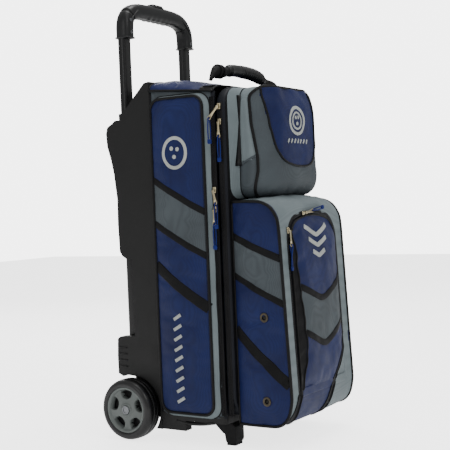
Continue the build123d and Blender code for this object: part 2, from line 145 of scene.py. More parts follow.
def finish_material(name, dark, light, rough, pattern, pitch, bump, depth, patches=14.0,
                    sheen=0.0, metallic=0.0, coat=0.0, hollow_shade=0.3, gloss=0.3):
    """Procedural material: patchy colour, a fine pattern in colour and bump whose low points carry
    painted shade, varied gloss.

    dark and light are sRGB values from 0 to 255; pitch and depth are metres.
    """
    dark, light = linear(*dark), linear(*light)
    mat = bpy.data.materials.new(name)
    mat.use_nodes = True
    nodes, links = mat.node_tree.nodes, mat.node_tree.links
    shader = nodes["Principled BSDF"]
    coord = nodes.new("ShaderNodeTexCoord").outputs["Object"]

    def noise_of(scale, detail):
        node = nodes.new("ShaderNodeTexNoise")
        node.inputs["Scale"].default_value = scale
        node.inputs["Detail"].default_value = detail
        links.new(coord, node.inputs["Vector"])
        return node.outputs["Fac"]

    def vector_math(operation, source, values=None):
        node = nodes.new("ShaderNodeVectorMath")
        node.operation = operation
        links.new(source, node.inputs[0])
        if values:
            node.inputs[1].default_value = values
        return node

    def mapped(source, low, high, new_low, new_high):
        node = nodes.new("ShaderNodeMapRange")
        for key, value in zip(("From Min", "From Max", "To Min", "To Max"),
                              (low, high, new_low, new_high)):
            node.inputs[key].default_value = value
        links.new(source, node.inputs["Value"])
        return node.outputs["Result"]

    def mixed(factor, first, second):
        node = nodes.new("ShaderNodeMix")
        node.data_type = "RGBA"
        links.new(factor, node.inputs["Factor"])
        for key, value in (("A", first), ("B", second)):
            socket = [s for s in node.inputs if s.name == key and s.type == "RGBA"][0]
            if isinstance(value, tuple):
                socket.default_value = value
            else:
                links.new(value, socket)
        return [s for s in node.outputs if s.type == "RGBA"][0]

    if pattern == "weave":
        turns = vector_math("MULTIPLY", coord, (2 * pi / pitch,) * 3)
        threads = vector_math("SINE", turns.outputs["Vector"])
        height = vector_math("DOT_PRODUCT", threads.outputs["Vector"], (1.0, 1.0, 1.0))
        height = mapped(height.outputs["Value"], -2.4, 2.4, 0.0, 1.0)
    elif pattern == "ribs":
        wave = nodes.new("ShaderNodeTexWave")
        wave.bands_direction = "DIAGONAL"
        wave.inputs["Scale"].default_value = 1 / pitch / 3.2
        wave.inputs["Distortion"].default_value = 0.4
        links.new(coord, wave.inputs["Vector"])
        height = wave.outputs["Fac"]
    else:
        height = noise_of(1 / pitch, 3.0)
    patchy = mapped(noise_of(patches, 4.0), 0.3, 0.7, 0.0, 1.0)
    base = mixed(patchy, dark, light)
    # painted shade: the pattern's low points take a darker copy of the dark colour
    deep = tuple(c * (1 - hollow_shade) for c in dark[:3]) + (1.0,)
    colour = mixed(mapped(height, 0.0, 0.6, 0.75, 0.0), base, deep)
    links.new(colour, shader.inputs["Base Color"])
    links.new(mapped(noise_of(patches * 4, 3.0), 0.3, 0.7, rough - 0.07, rough + 0.07),
              shader.inputs["Roughness"])
    bumps = nodes.new("ShaderNodeBump")
    bumps.inputs["Strength"].default_value = bump
    bumps.inputs["Distance"].default_value = depth
    links.new(height, bumps.inputs["Height"])
    links.new(bumps.outputs["Normal"], shader.inputs["Normal"])
    shader.inputs["Metallic"].default_value = metallic
    shader.inputs["Sheen Weight"].default_value = sheen
    shader.inputs["Coat Weight"].default_value = coat
    shader.inputs["Specular IOR Level"].default_value = gloss
    return mat


CLOTH_LOOK = dict(pattern="weave", pitch=0.0011, bump=0.35, depth=0.0003, gloss=0.16)
BLUE = finish_material("blue_cloth", (13, 22, 62), (21, 33, 80), 0.5, sheen=0.03, **CLOTH_LOOK)
PALE = finish_material("pale_grey_cloth", (98, 108, 111), (115, 125, 128), 0.6, **CLOTH_LOOK)
SLATE = finish_material("dark_grey_cloth", (60, 66, 70), (74, 81, 85), 0.6, **CLOTH_LOOK)
BLACK = finish_material("black_cloth", (9, 9, 11), (15, 15, 17), 0.62, **CLOTH_LOOK)
CHAR = finish_material("charcoal_cloth", (14, 16, 22), (22, 25, 32), 0.55, **CLOTH_LOOK)
LINING = finish_material("lining_cloth", (32, 34, 38), (42, 44, 48), 0.7, **CLOTH_LOOK)
WEBBING = finish_material("webbing", (9, 9, 10), (15, 15, 16), 0.6, "ribs", 0.0016, 0.6, 0.0005,
                          gloss=0.14)
PIPING = finish_material("piping", (8, 8, 9), (13, 13, 14), 0.5, "ribs", 0.0012, 0.4, 0.0003,
                         gloss=0.18)
ZIP = finish_material("zip_nylon", (8, 8, 9), (15, 15, 17), 0.42, "grain", 0.0008, 0.3, 0.0002,
                      gloss=0.25)
THREAD = finish_material("embroidery", (158, 162, 158), (180, 183, 178), 0.5, "ribs", 0.0009,
                         0.7, 0.0004)
STITCH = finish_material("stitch_thread", (22, 24, 30), (34, 37, 44), 0.6, "grain", 0.0006, 0.2,
                         0.0001, gloss=0.15)
CORD = finish_material("navy_cord", (10, 24, 86), (16, 36, 112), 0.6, "ribs", 0.0009, 0.7,
                       0.0004, gloss=0.2)
NICKEL = finish_material("champagne_nickel", (160, 148, 118), (196, 186, 156), 0.3, "grain",
                         0.0012, 0.12, 0.0001, metallic=1.0, hollow_shade=0.15)
STEEL = finish_material("steel", (110, 112, 115), (142, 144, 146), 0.35, "grain", 0.001, 0.12,
                        0.0001, metallic=1.0, hollow_shade=0.15)
GUNMETAL = finish_material("gunmetal", (60, 55, 47), (90, 83, 71), 0.34, "grain", 0.001, 0.12,
                           0.0001, metallic=1.0, hollow_shade=0.15)
SHELL = finish_material("shell_plastic", (12, 12, 12), (17, 17, 17), 0.5, "grain", 0.0011, 0.55,
                        0.0004, patches=7.0, gloss=0.28)
SMOOTH = finish_material("grip_plastic", (10, 11, 12), (16, 17, 19), 0.42, "grain", 0.0016, 0.2,
                         0.0002, coat=0.05)
TUBE = finish_material("tube_enamel", (7, 7, 8), (11, 11, 12), 0.3, "grain", 0.002, 0.1, 0.0001,
                       coat=0.15)
TYRE = finish_material("tyre_rubber", (7, 7, 8), (11, 11, 12), 0.38, "grain", 0.0014, 0.2,
                       0.0002, coat=0.08, gloss=0.4)
RIM = finish_material("rim_plastic", (84, 89, 87), (102, 107, 105), 0.38, "grain", 0.0012, 0.2,
                      0.0002, hollow_shade=0.15)
# painted shade: near-black fill for the wheel windows' recesses and the eyelet holes
HOLE_SHADE = finish_material("hole_painted_shade", (9, 9, 10), (14, 14, 15), 0.6, "grain", 0.0012, 0.3, 0.0003)
FOOT = finish_material("foot_rubber", (8, 8, 9), (13, 13, 14), 0.6, "grain", 0.001, 0.4, 0.0004,
                       gloss=0.2)
FOAM = finish_material("foam", (28, 29, 32), (40, 41, 45), 0.85, "grain", 0.0018, 0.8, 0.0008,
                       patches=30.0, gloss=0.15)
FLOOR = finish_material("studio_floor", (247, 247, 247), (251, 251, 251), 0.85, "grain", 0.01,
                        0.02, 0.0002, patches=2.0, hollow_shade=0.02)
floor_shader = FLOOR.node_tree.nodes["Principled BSDF"]
floor_shader.inputs["Emission Color"].default_value = (1, 1, 1, 1)
floor_path = FLOOR.node_tree.nodes.new("ShaderNodeLightPath")
floor_glow = FLOOR.node_tree.nodes.new("ShaderNodeMapRange")
floor_glow.inputs["To Min"].default_value = 0.45
floor_glow.inputs["To Max"].default_value = 2.6
FLOOR.node_tree.links.new(floor_path.outputs["Is Camera Ray"], floor_glow.inputs["Value"])
FLOOR.node_tree.links.new(floor_glow.outputs["Result"], floor_shader.inputs["Emission Strength"])


# ---------------------------------------------------------------- mesh building
class Shape:
    """Vertices, faces and each face's material, gathered before they become a piece."""

    def __init__(self):
        self.points, self.faces, self.picks, self.loose = [], [], [], []

    def add(self, rows, pick=0, closed=False, free=False):
        """Grid of faces through rows of points. Returns the rows of vertex numbers."""
        numbered = []
        for row in rows:
            start = len(self.points)
            self.points.extend(Vector(p) for p in row)
            numbered.append(list(range(start, len(self.points))))
        self.join(numbered, pick, closed)
        if free:
            self.loose.extend(i for row in numbered[1:-1] for i in row[1:-1])
        return numbered

    def join(self, numbered, pick=0, closed=False):
        for low, high in zip(numbered, numbered[1:]):
            for i in range(len(low) if closed else len(low) - 1):
                j = (i + 1) % len(low)
                self.face((low[i], low[j], high[j], high[i]), pick)

    def face(self, corners, pick=0):
        corners = list(dict.fromkeys(corners))
        if len(corners) > 2:
            if callable(pick):
                pick = pick(sum((self.points[i] for i in corners), Vector()) / len(corners))
            if pick is not None:
                self.faces.append(corners)
                self.picks.append(pick)

    def ring(self, points, previous=None, pick=0):
        """A closed loop of points, joined to the loop before it."""
        start = len(self.points)
        self.points.extend(Vector(p) for p in points)
        numbers = list(range(start, len(self.points)))
        if previous:
            self.join([previous, numbers], pick, True)
        return numbers

    def loft(self, loops, pick=0, closed=False):
        """Loops joined one after another, then capped or joined end to end."""
        first = previous = None
        for loop in loops:
            previous = self.ring(loop, previous, pick)
            first = first or previous
        if closed:
            self.join([previous, first], pick, True)
        else:
            self.face(first, pick)
            self.face(previous, pick)

    def tube(self, line, radius, closed=False, pick=0, sides=8, flat=1.0, out=None):
        """Round or flattened bar along a line; radius may be a list, one for each point."""
        side_hint = out or Vector((0.31, 0.5, 0.81))
        normal, loops = None, []
        for i, point in enumerate(line):
            tangent = heading(line, i, closed).normalized()
            seed = side_hint if normal is None or out else normal
            normal = (seed - tangent * seed.dot(tangent)).normalized()
            across = tangent.cross(normal)
            size = radius[i] if isinstance(radius, list) else radius
            loops.append(oval(point, normal * flat * size, across * size, sides))
        self.loft(loops, pick, closed)

    def piece(self, name, materials, body, stands_for=(), slot=None):
        mesh = bpy.data.meshes.new(name)
        mesh.from_pydata(self.points, [], self.faces)
        for material in materials:
            mesh.materials.append(material)
        mesh.polygons.foreach_set("material_index", self.picks)
        tool = bmesh.new()
        tool.from_mesh(mesh)
        bmesh.ops.recalc_face_normals(tool, faces=tool.faces)
        tool.to_mesh(mesh)
        tool.free()
        mesh.polygons.foreach_set("use_smooth", [True] * len(mesh.polygons))
        obj = bpy.data.objects.new(name, mesh)
        bpy.context.scene.collection.objects.link(obj)
        obj["body"] = body
        if body:
            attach(obj, body)
        if stands_for:
            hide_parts(*stands_for)
        return obj


def baked(obj):
    """Turns the piece's modifiers into mesh."""
    graph = bpy.context.evaluated_depsgraph_get()
    old = obj.data
    obj.data = bpy.data.meshes.new_from_object(obj.evaluated_get(graph))
    obj.modifiers.clear()
    bpy.data.meshes.remove(old)
    return obj


def modified(obj, kind, **settings):
    modifier = obj.modifiers.new(kind.lower(), kind)
    for key, value in settings.items():
        setattr(modifier, key, value)
    return modifier


def eased(obj, width):
    """Rounds the hard edges of a CAD node or a piece."""
    modified(obj, "WELD", merge_threshold=2e-5)
    modified(obj, "BEVEL", width=width, segments=3, limit_method="ANGLE",
             angle_limit=radians(32.0), harden_normals=False, use_clamp_overlap=True)
    for polygon in obj.data.polygons:
        polygon.use_smooth = True
    modified(obj, "WEIGHTED_NORMAL", keep_sharp=False)
    return obj


class Skin:
    """Finished surfaces that trims are laid on."""

    def __init__(self, *objs):
        points, faces = [], []
        for obj in objs:
            base = len(points)
            points.extend(v.co.copy() for v in obj.data.vertices)
            faces.extend([base + i for i in p.vertices] for p in obj.data.polygons)
        self.tree = BVHTree.FromPolygons(points, faces)

    def at(self, point, inward, reach=0.05):
        """Where a ray along inward meets the surface, and the outward normal there."""
        hit, normal, _, _ = self.tree.ray_cast(point - inward * reach, inward, 2 * reach)
        if hit is None:
            hit, normal, _, _ = self.tree.find_nearest(point)
        if normal.dot(inward) > 0:
            normal = -normal
        return hit, normal


def ribbon(shape, skin, line, inward, width, thick, pick, step=0.004, closed=False):
    """Flat band along a line, laid on the skin and closed underneath."""
    line = evened(line, step, closed)
    section = ((-1.0, -0.0006), (-0.97, thick * 0.7), (-0.8, thick), (0.0, thick),
               (0.8, thick), (0.97, thick * 0.7), (1.0, -0.0006), (0.0, -0.0008))
    loops = []
    for i, point in enumerate(line):
        across = heading(line, i, closed).cross(inward).normalized()
        loops.append([skin.at(point + across * offset * width / 2, inward)[0] - inward * lift
                      for offset, lift in section])
    shape.loft(loops, pick, closed)


def stitches(shape, skin, line, inward, pick, closed=False):
    """Short raised stitches along a line on the skin."""
    line = evened(line, STITCH_PITCH, closed)
    for a, b in zip(line, line[1:] + (line[:1] if closed else [])):
        start, end = a.lerp(b, 0.18), a.lerp(b, 0.82)
        ends = [skin.at(p, inward)[0] - inward * 0.0001 for p in (start, end)]
        middle = skin.at(start.lerp(end, 0.5), inward)[0] - inward * 0.0006
        shape.tube([ends[0], middle, ends[1]], [0.00025, 0.0004, 0.00025], pick=pick, sides=5)


def stitched_band(shape, skin, line, inward, width, slant):
    """Webbing band laid on the skin, with a row of stitches along each edge."""
    ribbon(shape, skin, line, inward, width * MM, BAND_THICK, WEB_I)
    for shift in (-width / 2 + 1.6, width / 2 - 1.6):
        moved = [p + Vector((0, 0, shift * MM * slant)) - inward * 0.0012 for p in line]
        stitches(shape, skin, moved, inward, STITCH_I)


def thickened(obj, thickness, offset=-1.0, inner=0):
    """Gives a sheet of cloth thickness; inner moves the new faces' material on."""
    modified(obj, "SOLIDIFY", thickness=thickness, offset=offset, material_offset=inner)
    return baked(obj)


CLOTH_FRAMES = 20
soft_pieces = []


def soften(obj, shape, cap, pressure, slack):
    """Marks a piece for the cloth run: only its loose points may move."""
    soft_pieces.append((obj, shape.loose, cap, pressure, slack))


def inflate():
    """One cloth run for every soft piece, kept within each piece's cap."""
    starts = []
    for obj, loose, cap, pressure, slack in soft_pieces:
        held = sorted(set(range(len(obj.data.vertices))) - set(loose))
        group = obj.vertex_groups.new(name="held")
        group.add(held, 1.0, "REPLACE")
        cloth = obj.modifiers.new("cloth", "CLOTH")
        cloth.settings.vertex_group_mass = "held"
        cloth.settings.quality = 4
        cloth.settings.use_pressure = True
        cloth.settings.uniform_pressure_force = pressure
        cloth.settings.tension_stiffness = 12
        cloth.settings.compression_stiffness = 12
        cloth.settings.bending_stiffness = 0.4
        cloth.settings.shrink_min = -slack
        cloth.settings.effector_weights.gravity = 0
        cloth.point_cache.frame_start, cloth.point_cache.frame_end = 1, CLOTH_FRAMES
        starts.append([v.co.copy() for v in obj.data.vertices])
    for number in range(1, CLOTH_FRAMES + 1):
        bpy.context.scene.frame_set(number)
    graph = bpy.context.evaluated_depsgraph_get()
    for (obj, loose, cap, _, _), start in zip(soft_pieces, starts):
        moved = [v.co.copy() for v in obj.evaluated_get(graph).data.vertices]
        obj.modifiers.clear()
        obj.vertex_groups.clear()
        for i in loose:
            shift = moved[i] - start[i]
            if shift.length > cap:
                shift *= cap / shift.length
            obj.data.vertices[i].co = start[i] + shift
    bpy.context.scene.frame_set(1)


def smoothed_all():
    """Softens the marked pieces' meshes once and divides them into finer faces."""
    for obj, loose, _, _, _ in soft_pieces:
        tool = bmesh.new()
        tool.from_mesh(obj.data)
        tool.verts.ensure_lookup_table()
        bmesh.ops.smooth_vert(tool, verts=[tool.verts[i] for i in loose], factor=0.5,
                              use_axis_x=True, use_axis_y=True, use_axis_z=True)
        tool.to_mesh(obj.data)
        tool.free()
        modified(obj, "SUBSURF", levels=1, render_levels=1)
        baked(obj)


def rounded_rows(a0, a1, b0, b1, radius, step, count):
    """Rows of (a, b) that fill a rectangle with rounded corners."""
    turns = 6
    corner = [radius * (1 - cos(i * pi / 2 / turns)) for i in range(turns)]
    height = b1 - b0
    middle_count = max(2, round((height - 2 * radius) / step))
    middle = [radius + (height - 2 * radius) * k / middle_count
              for k in range(middle_count + 1)]
    levels = corner + middle + [height - c for c in reversed(corner)]
    rows = []
    for level in levels:
        near = min(level, height - level)
        inset = radius - sqrt(max(0, radius**2 - (radius - near) ** 2)) if near < radius else 0
        rows.append([(lerp(a0 + inset, a1 - inset, k / count), b0 + level)
                     for k in range(count + 1)])
    return rows


def rim_of(rows):
    """The loop of numbers or points round a grid's outside."""
    return (list(rows[0]) + [row[-1] for row in rows[1:-1]] + list(reversed(rows[-1]))
            + [row[0] for row in reversed(rows[1:-1])])


def edge_distance(rows):
    """For each grid point, its closeness to the middle: 0 on the rim, 1 inside."""
    count_b, count_a = len(rows) - 1, len(rows[0]) - 1
    return [[(1 - abs(2 * i / count_a - 1), 1 - abs(2 * j / count_b - 1))
             for i in range(count_a + 1)] for j in range(count_b + 1)]


# ---------------------------------------------------------------- camera, light and floor
camera = bpy.data.objects.new("camera", bpy.data.cameras.new("camera"))
bpy.context.scene.collection.objects.link(camera)
bpy.context.scene.camera = camera
turn, tilt, roll = radians(-57.33), radians(1.24), radians(-2.32)
behind = Vector((sin(turn) * cos(tilt), -cos(turn) * cos(tilt), sin(tilt)))
level_right = (-behind).cross(UP).normalized()
level_up = behind.cross(level_right)
right = level_right * cos(roll) + level_up * sin(roll)
upward = level_up * cos(roll) - level_right * sin(roll)
camera.matrix_world = (Matrix.Translation((-1.7829, -1.1329, 0.4845))
                       @ Matrix((right, upward, behind)).transposed().to_4x4())
camera.data.lens = 79.03
camera.data.sensor_width = 36.0
camera.data.clip_start = 0.05

world = bpy.data.worlds.new("studio")
bpy.context.scene.world = world
world.use_nodes = True
backdrop = world.node_tree.nodes["Background"]
backdrop.inputs["Color"].default_value = (1, 1, 1, 1)
backdrop.inputs["Strength"].default_value = 0.62
seen = world.node_tree.nodes.new("ShaderNodeBackground")
seen.inputs["Color"].default_value = (1, 1, 1, 1)
seen.inputs["Strength"].default_value = 5.0
kind = world.node_tree.nodes.new("ShaderNodeLightPath")
chosen = world.node_tree.nodes.new("ShaderNodeMixShader")
outlet = world.node_tree.nodes["World Output"]
world.node_tree.links.new(kind.outputs["Is Camera Ray"], chosen.inputs[0])
world.node_tree.links.new(backdrop.outputs[0], chosen.inputs[1])
world.node_tree.links.new(seen.outputs[0], chosen.inputs[2])
world.node_tree.links.new(chosen.outputs[0], outlet.inputs[0])

lamps = {"key": ((-0.9, -2.3, 2.2), 1.3, 17.0), "side": ((-2.6, 0.3, 1.5), 1.4, 10.0),
         "top": ((0.2, -0.2, 2.8), 1.6, 48.0), "back": ((1.6, 1.9, 1.8), 1.2, 24.0)}
for lamp_name, (place, size, power) in lamps.items():
    lamp = bpy.data.objects.new("lamp_" + lamp_name, bpy.data.lights.new(lamp_name, "AREA"))
    lamp.data.shape, lamp.data.size, lamp.data.energy = "DISK", size, power
    lamp.location = place
    lamp.rotation_mode = "QUATERNION"
    lamp.rotation_quaternion = (Vector((0, 0, 0.4)) - Vector(place)).to_track_quat("-Z", "Y")
    bpy.context.scene.collection.objects.link(lamp)

floor_shape = Shape()
floor_shape.add([[(x, y, -0.0004) for x in (-6, -2, 0, 2, 6)] for y in (-6, -2, 0, 2, 6)])
floor = floor_shape.piece("studio_floor", [FLOOR], None)

# ---------------------------------------------------------------- zip sliders, pulls and cords
CENTRE_SHIFT = Vector((0, -10.55, 0))
FRONT_ORIGIN = Vector((0, -201, 110)) + CENTRE_SHIFT
SLOPE = Vector((0, 16.4, 358)).normalized()
FRONT_OUT = Vector((0, -358, 16.4)).normalized()
WEST = Vector((-1, 0, 0))
FLAP_HALF, FLAP_HIGH, FLAP_RISE = 97.0, 347.0, 20.0
arc_radius = (FLAP_HALF**2 + FLAP_RISE**2) / (2 * FLAP_RISE)
ZIP_GAP = 4.9  # from the flap's edge out to the middle of its zip
zip_radius = arc_radius + ZIP_GAP
crown_angle = asin(-32.0 / zip_radius)
crown_v = FLAP_HIGH - arc_radius + zip_radius * cos(crown_angle)
crown_down = Vector((1, 0, 0)) * cos(crown_angle) - SLOPE * sin(crown_angle)


def on_front(x, v, lift=0.0):
    """Point on the sloping front, in millimetres: x across, v up the slope, lift outwards."""
    return FRONT_ORIGIN + Vector((x, 0, 0)) + SLOPE * v + FRONT_OUT * lift


def front_arch(x, half, high, corner):
    """Height v of an arch's outline over x: a shallow arc with rounded corners."""
    radius = (half**2 + FLAP_RISE**2) / (2 * FLAP_RISE)
    top = high - radius + sqrt(max(0.0, radius**2 - min(abs(x), half) ** 2))
    near = abs(x) - (half - corner)
    drop = corner - sqrt(max(0.0, corner**2 - near**2)) if near > 0 else 0.0
    return top - drop


sliders = {
    "front_upper": (Vector((-147, -71.5, 676)) + CENTRE_SHIFT, -UP, WEST,
                    Vector((-0.30, 0.56, -0.83))),
    "front_lower": (Vector((-147, -71.5, 646)) + CENTRE_SHIFT, -UP, WEST, -UP),
    "rear_upper": (Vector((-150, -55.5, 512)) + CENTRE_SHIFT, -UP, WEST,
                   Vector((-0.24, -0.34, -0.91))),
    "rear_lower": (Vector((-150, -55.5, 474)) + CENTRE_SHIFT, -UP, WEST, -UP),
    "flap_side": (on_front(-FLAP_HALF - ZIP_GAP, 318.0), -SLOPE, FRONT_OUT, -SLOPE),
    "flap_top": (on_front(-32.0, crown_v), crown_down, FRONT_OUT, crown_down),
}
CORD_DIAMETER = 0.0026
CORD_HOLE = 28.8  # along the pull, from its axis
SLIDER_SEAT = 1.65  # out from the zip's middle
PULL_AXIS = 7.05


def block(shape, origin, along, across, out, profile):
    """Loft through rounded sections: each is (distance along, half width, low, high)."""
    shape.loft([oval((origin + along * distance + out * (low + high) / 2) * MM,
                     across * half * MM, out * (high - low) / 2 * MM, 16, 0.5)
                for distance, half, low, high in profile])


for slider_name, (place, along, out, hang) in sliders.items():
    out, along, hang = out.normalized(), along.normalized(), hang.normalized()
    across = out.cross(along).normalized()
    seat = place + out * SLIDER_SEAT
    body = Shape()
    block(body, seat, along, across, out,
          [(-6.0, 2.6, 0.0, 1.9), (-5.4, 3.9, 0.0, 2.3), (-1.0, 4.0, 0.0, 2.4),
           (3.5, 3.4, 0.0, 2.4), (5.6, 3.0, 0.0, 2.2), (6.0, 2.2, 0.2, 1.8)])
    bridge = [seat + along * d + out * h
              for d, h in ((-4.2, 1.6), (-3.6, 3.6), (-1.4, 4.6), (1.6, 4.6), (3.6, 3.6),
                           (4.2, 1.6))]
    body.tube([p * MM for p in curve_through(bridge, 4)], 0.00095, sides=8)
    body.piece("slider_metal_" + slider_name, [NICKEL], "slider_" + slider_name,
               ["slider_" + slider_name], "zip_metal")

    lean_room = 3.6 * max(0.0, hang.dot(out))
    start = place + out * (PULL_AXIS + lean_room) + along
    pull_out = (out - hang * out.dot(hang)).normalized()
    side = pull_out.cross(hang).normalized()
    pull = Shape()
    block(pull, start, hang, side, pull_out,
          [(d, half, 0.05, 1.55) for d, half in
           ((-0.5, 2.2), (0.2, 2.9), (1.4, 3.2), (4.0, 2.6), (8.0, 2.3), (14.0, 2.4),
            (20.0, 2.9), (25.0, 3.7))])
    middle = start + pull_out * 0.8
    for at, long, wide, thick, count in ((27.4, 3.3, 3.3, 0.00085, 20),
                                         (0.9, 1.1, 2.7, 0.0008, 16)):
        ring = oval((middle + hang * at) * MM, hang * long * MM, side * wide * MM, count)
        pull.tube(ring, thick, closed=True, out=pull_out)
    pull.piece("pull_metal_" + slider_name, [NICKEL], "pull_" + slider_name,
               ["pull_" + slider_name], "zip_metal")

    fall = -UP if hang.dot(-UP) > 0.3 else hang
    hole = middle + hang * CORD_HOLE
    level_out = (pull_out - fall * pull_out.dot(fall)).normalized()
    across = fall.cross(pull_out).normalized()
    steps = [(40.0, -0.2, 2.2), (26.0, -0.9, 2.6), (13.0, -2.2, 1.5), (4.4, -2.9, 0.3)]
    route = [hole + fall * drop + level_out * shift - across * spread
             for drop, shift, spread in steps]
    route += [hole - fall * 1.4 - level_out * 2.9, hole - fall * 1.4 + level_out * 2.9]
    route += [hole + fall * drop - level_out * shift + across * spread
              for drop, shift, spread in reversed(steps)]
    curve = bpy.data.curves.new("cord_loop_" + slider_name, "CURVE")
    curve.dimensions = "3D"
    spline = curve.splines.new("NURBS")
    spline.points.add(len(route) - 1)
    for point, where in zip(spline.points, route):
        point.co = (*(where * MM), 1.0)
    spline.order_u = 3
    spline.use_endpoint_u = True
    spline.resolution_u = 8
    curve.bevel_depth = CORD_DIAMETER / 2
    curve.bevel_resolution = 3
    curve.use_fill_caps = True
    curve.materials.append(CORD)
    cord = bpy.data.objects.new("cord_loop_" + slider_name, curve)
    bpy.context.scene.collection.objects.link(cord)
    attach(cord, "pull_" + slider_name)
    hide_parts("cord_" + slider_name)
    ends = route[0], route[-1]
    wide = (ends[1] - ends[0]).normalized()
    sleeve = Shape()
    block(sleeve, (ends[0] + ends[1]) / 2 + fall * 0.65, fall, wide,
          fall.cross(wide).normalized(),
          [(0.0, 3.2, -1.5, 1.5), (0.7, 4.1, -2.1, 2.1), (4.5, 4.2, -2.2, 2.2),
           (8.2, 4.0, -2.0, 2.0), (9.0, 3.0, -1.3, 1.3)])
    sleeve_piece = sleeve.piece("cord_sleeve_" + slider_name, [CORD], "pull_" + slider_name,
                                slot="cord")

# ---------------------------------------------------------------- hard parts kept from the CAD
kept = {
    "handle_anchors": (WEBBING, 0.0005), "base_tray": (SHELL, 0.002),
    "foot_left": (FOOT, 0.003), "foot_right": (FOOT, 0.003),
    "foot_pads": (FOOT, 0.001), "back_shell": (SHELL, 0.0026), "tube_collars": (SMOOTH, 0.0015),
    "outer_tube_left": (TUBE, 0.0004), "outer_tube_right": (TUBE, 0.0004),
    "inner_tube_left": (TUBE, 0.0004), "inner_tube_right": (TUBE, 0.0004),
    "grip_screws": (STEEL, 0.0004), "release_button": (SMOOTH, 0.0008),
    "wheel_bearings_left": (STEEL, 0.0005), "wheel_bearings_right": (STEEL, 0.0005),
    "axle": (STEEL, 0.0006), "axle_nuts": (STEEL, 0.0008), "ball_cup_lower": (FOAM, 0.002),
    "ball_cup_middle": (FOAM, 0.002), "ball_cup_upper": (FOAM, 0.002),
}
for node_name, (material, ease) in kept.items():
    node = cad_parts[node_name]
    node.data.materials.clear()
    node.data.materials.append(material)
    eased(node, ease)


# ---------------------------------------------------------------- soft bodies: shapes
CLOTHS = [BLUE, PALE, SLATE, BLACK, CHAR, WEBBING, PIPING, ZIP, THREAD, STITCH, LINING]
(BLUE_I, PALE_I, SLATE_I, BLACK_I, CHAR_I, WEB_I, PIPE_I, ZIP_I, THREAD_I, STITCH_I,
 LINING_I) = range(len(CLOTHS))
TO_LINING = LINING_I - PALE_I  # steps from an outer cloth's slot to the lining or past it


def pad(place, face, base, edge, bulge, face_pick, wall_pick, power):
    """Raised closed panel: a crowned face, its rim, a side wall down to the base and a back.

    place(a, b, s) gives a point in metres; face and base are grids of (a, b) with the same
    counts; edge(a, b) is the rim's height s and bulge(a, b) what the crown adds inside it.
    """
    shape = Shape()
    rows = []
    for row, marks in zip(face, edge_distance(face)):
        line = []
        for (a, b), (u, v) in zip(row, marks):
            crown = (1 - (1 - u) ** power) * (1 - (1 - v) ** (2 * power))
            line.append(place(a, b, edge(a, b) + bulge(a, b) * crown))
        rows.append(line)
    numbered = shape.add(rows, face_pick, free=True)
    top = rim_of(numbered)
    rim, foot = rim_of(face), rim_of(base)
    previous = top
    centre = (face[0][0][0] + face[0][-1][0]) / 2
    for share in (0.5, 1.0):
        swell = 0.48 * sin(pi * share)
        loop = []
        for (a, b), (c, d) in zip(rim, foot):
            x = lerp(a, c, share) + (swell if a > centre else -swell)
            loop.append(place(x, lerp(b, d, share), edge(a, b) * (1 - share) + 0.3))
        previous = shape.ring(loop, previous, wall_pick)
    closing = shape.add([[place(a, b, -0.2) for a, b in row] for row in base], wall_pick)
    shape.join([previous, rim_of(closing)], wall_pick, True)
    return shape, rim


def creased(obj, loose, amount, stretch, seed):
    """Shallow irregular folds on the points that may move."""
    obj.data.update()
    normals = {i: obj.data.vertices[i].normal.copy() for i in loose}
    for i in loose:
        p = obj.data.vertices[i].co
        where = Vector([c * k for c, k in zip(p, stretch)]) + Vector((seed, seed * 1.7, 0))
        slanted = Vector((where.x + where.z * 0.6, where.y + where.z * 0.6, where.z * 0.35)) * 2.1
        value = noise.noise(where) + 0.5 * noise.noise(where * 2.3)
        value += 0.55 * (0.5 - abs(noise.noise(slanted)) * 2.0)
        obj.data.vertices[i].co = p + normals[i] * (value * amount)


def band_between(y, left, right):
    """Height of a slanted band over y, from its two ends."""
    return lerp(right, left, (y + 49.0) / 127.0)


def banded(height, bands):
    """Picks dark grey between the first two slanted bands of a side, blue elsewhere."""
    def pick(p):
        upper, lower = (height(p.y / MM, *band[:2]) for band in bands[:2])
        return SLATE_I if lower < p.z / MM < upper else BLUE_I
    return pick


# side pockets: blue faces crossed by webbing bands, pale sides, black edges
POCKET_BANDS = ((539.0, 468.5, 13.0), (450.0, 381.0, 13.0), (367.0, 276.0, 22.0))
pockets = {}
for name, side in SIDES.items():
    def pocket_place(a, b, s):
        return mm(side * (150.3 + s), a, b)

    face = rounded_rows(-49.0, 78.0, 64.0, 701.0, 22.0, 5.5, 24)
    base = rounded_rows(-60.5, 82.5, 55.0, 707.0, 26.0, 5.5, 24)
    while len(base) > len(face):  # the two grids need the same number of rows
        base.pop(len(base) // 2)
    while len(face) > len(base):
        face.pop(len(face) // 2)
    shape, rim = pad(pocket_place, face, base, lambda a, b: 9.5, lambda a, b: 4.0,
                     banded(band_between, POCKET_BANDS), lambda p: PALE_I, power=4.0)
    pocket = shape.piece("side_pocket_" + name + "_cloth", CLOTHS, None,
                         ["side_pocket_" + name], "side_fabric")
    creased(pocket, shape.loose, 0.0021, (14, 14, 5), 3.1 + side)
    soften(pocket, shape, 0.0045, 3.5, 0.012)
    pockets[name] = (pocket, [pocket_place(a, b, 9.7) for a, b in rim],
                     [pocket_place(a, b, 0.4) for a, b in rim_of(base)])

# side walls: dark grey cloth between the pocket, the shell and the zip
TOP_REAR, TOP_FRONT, BODY_REAR, BODY_FRONT = 722.0, 708.0, 87.2, -70.5


def wall_top(y):
    return lerp(TOP_FRONT, TOP_REAR, (y - BODY_FRONT) / (BODY_REAR - BODY_FRONT))


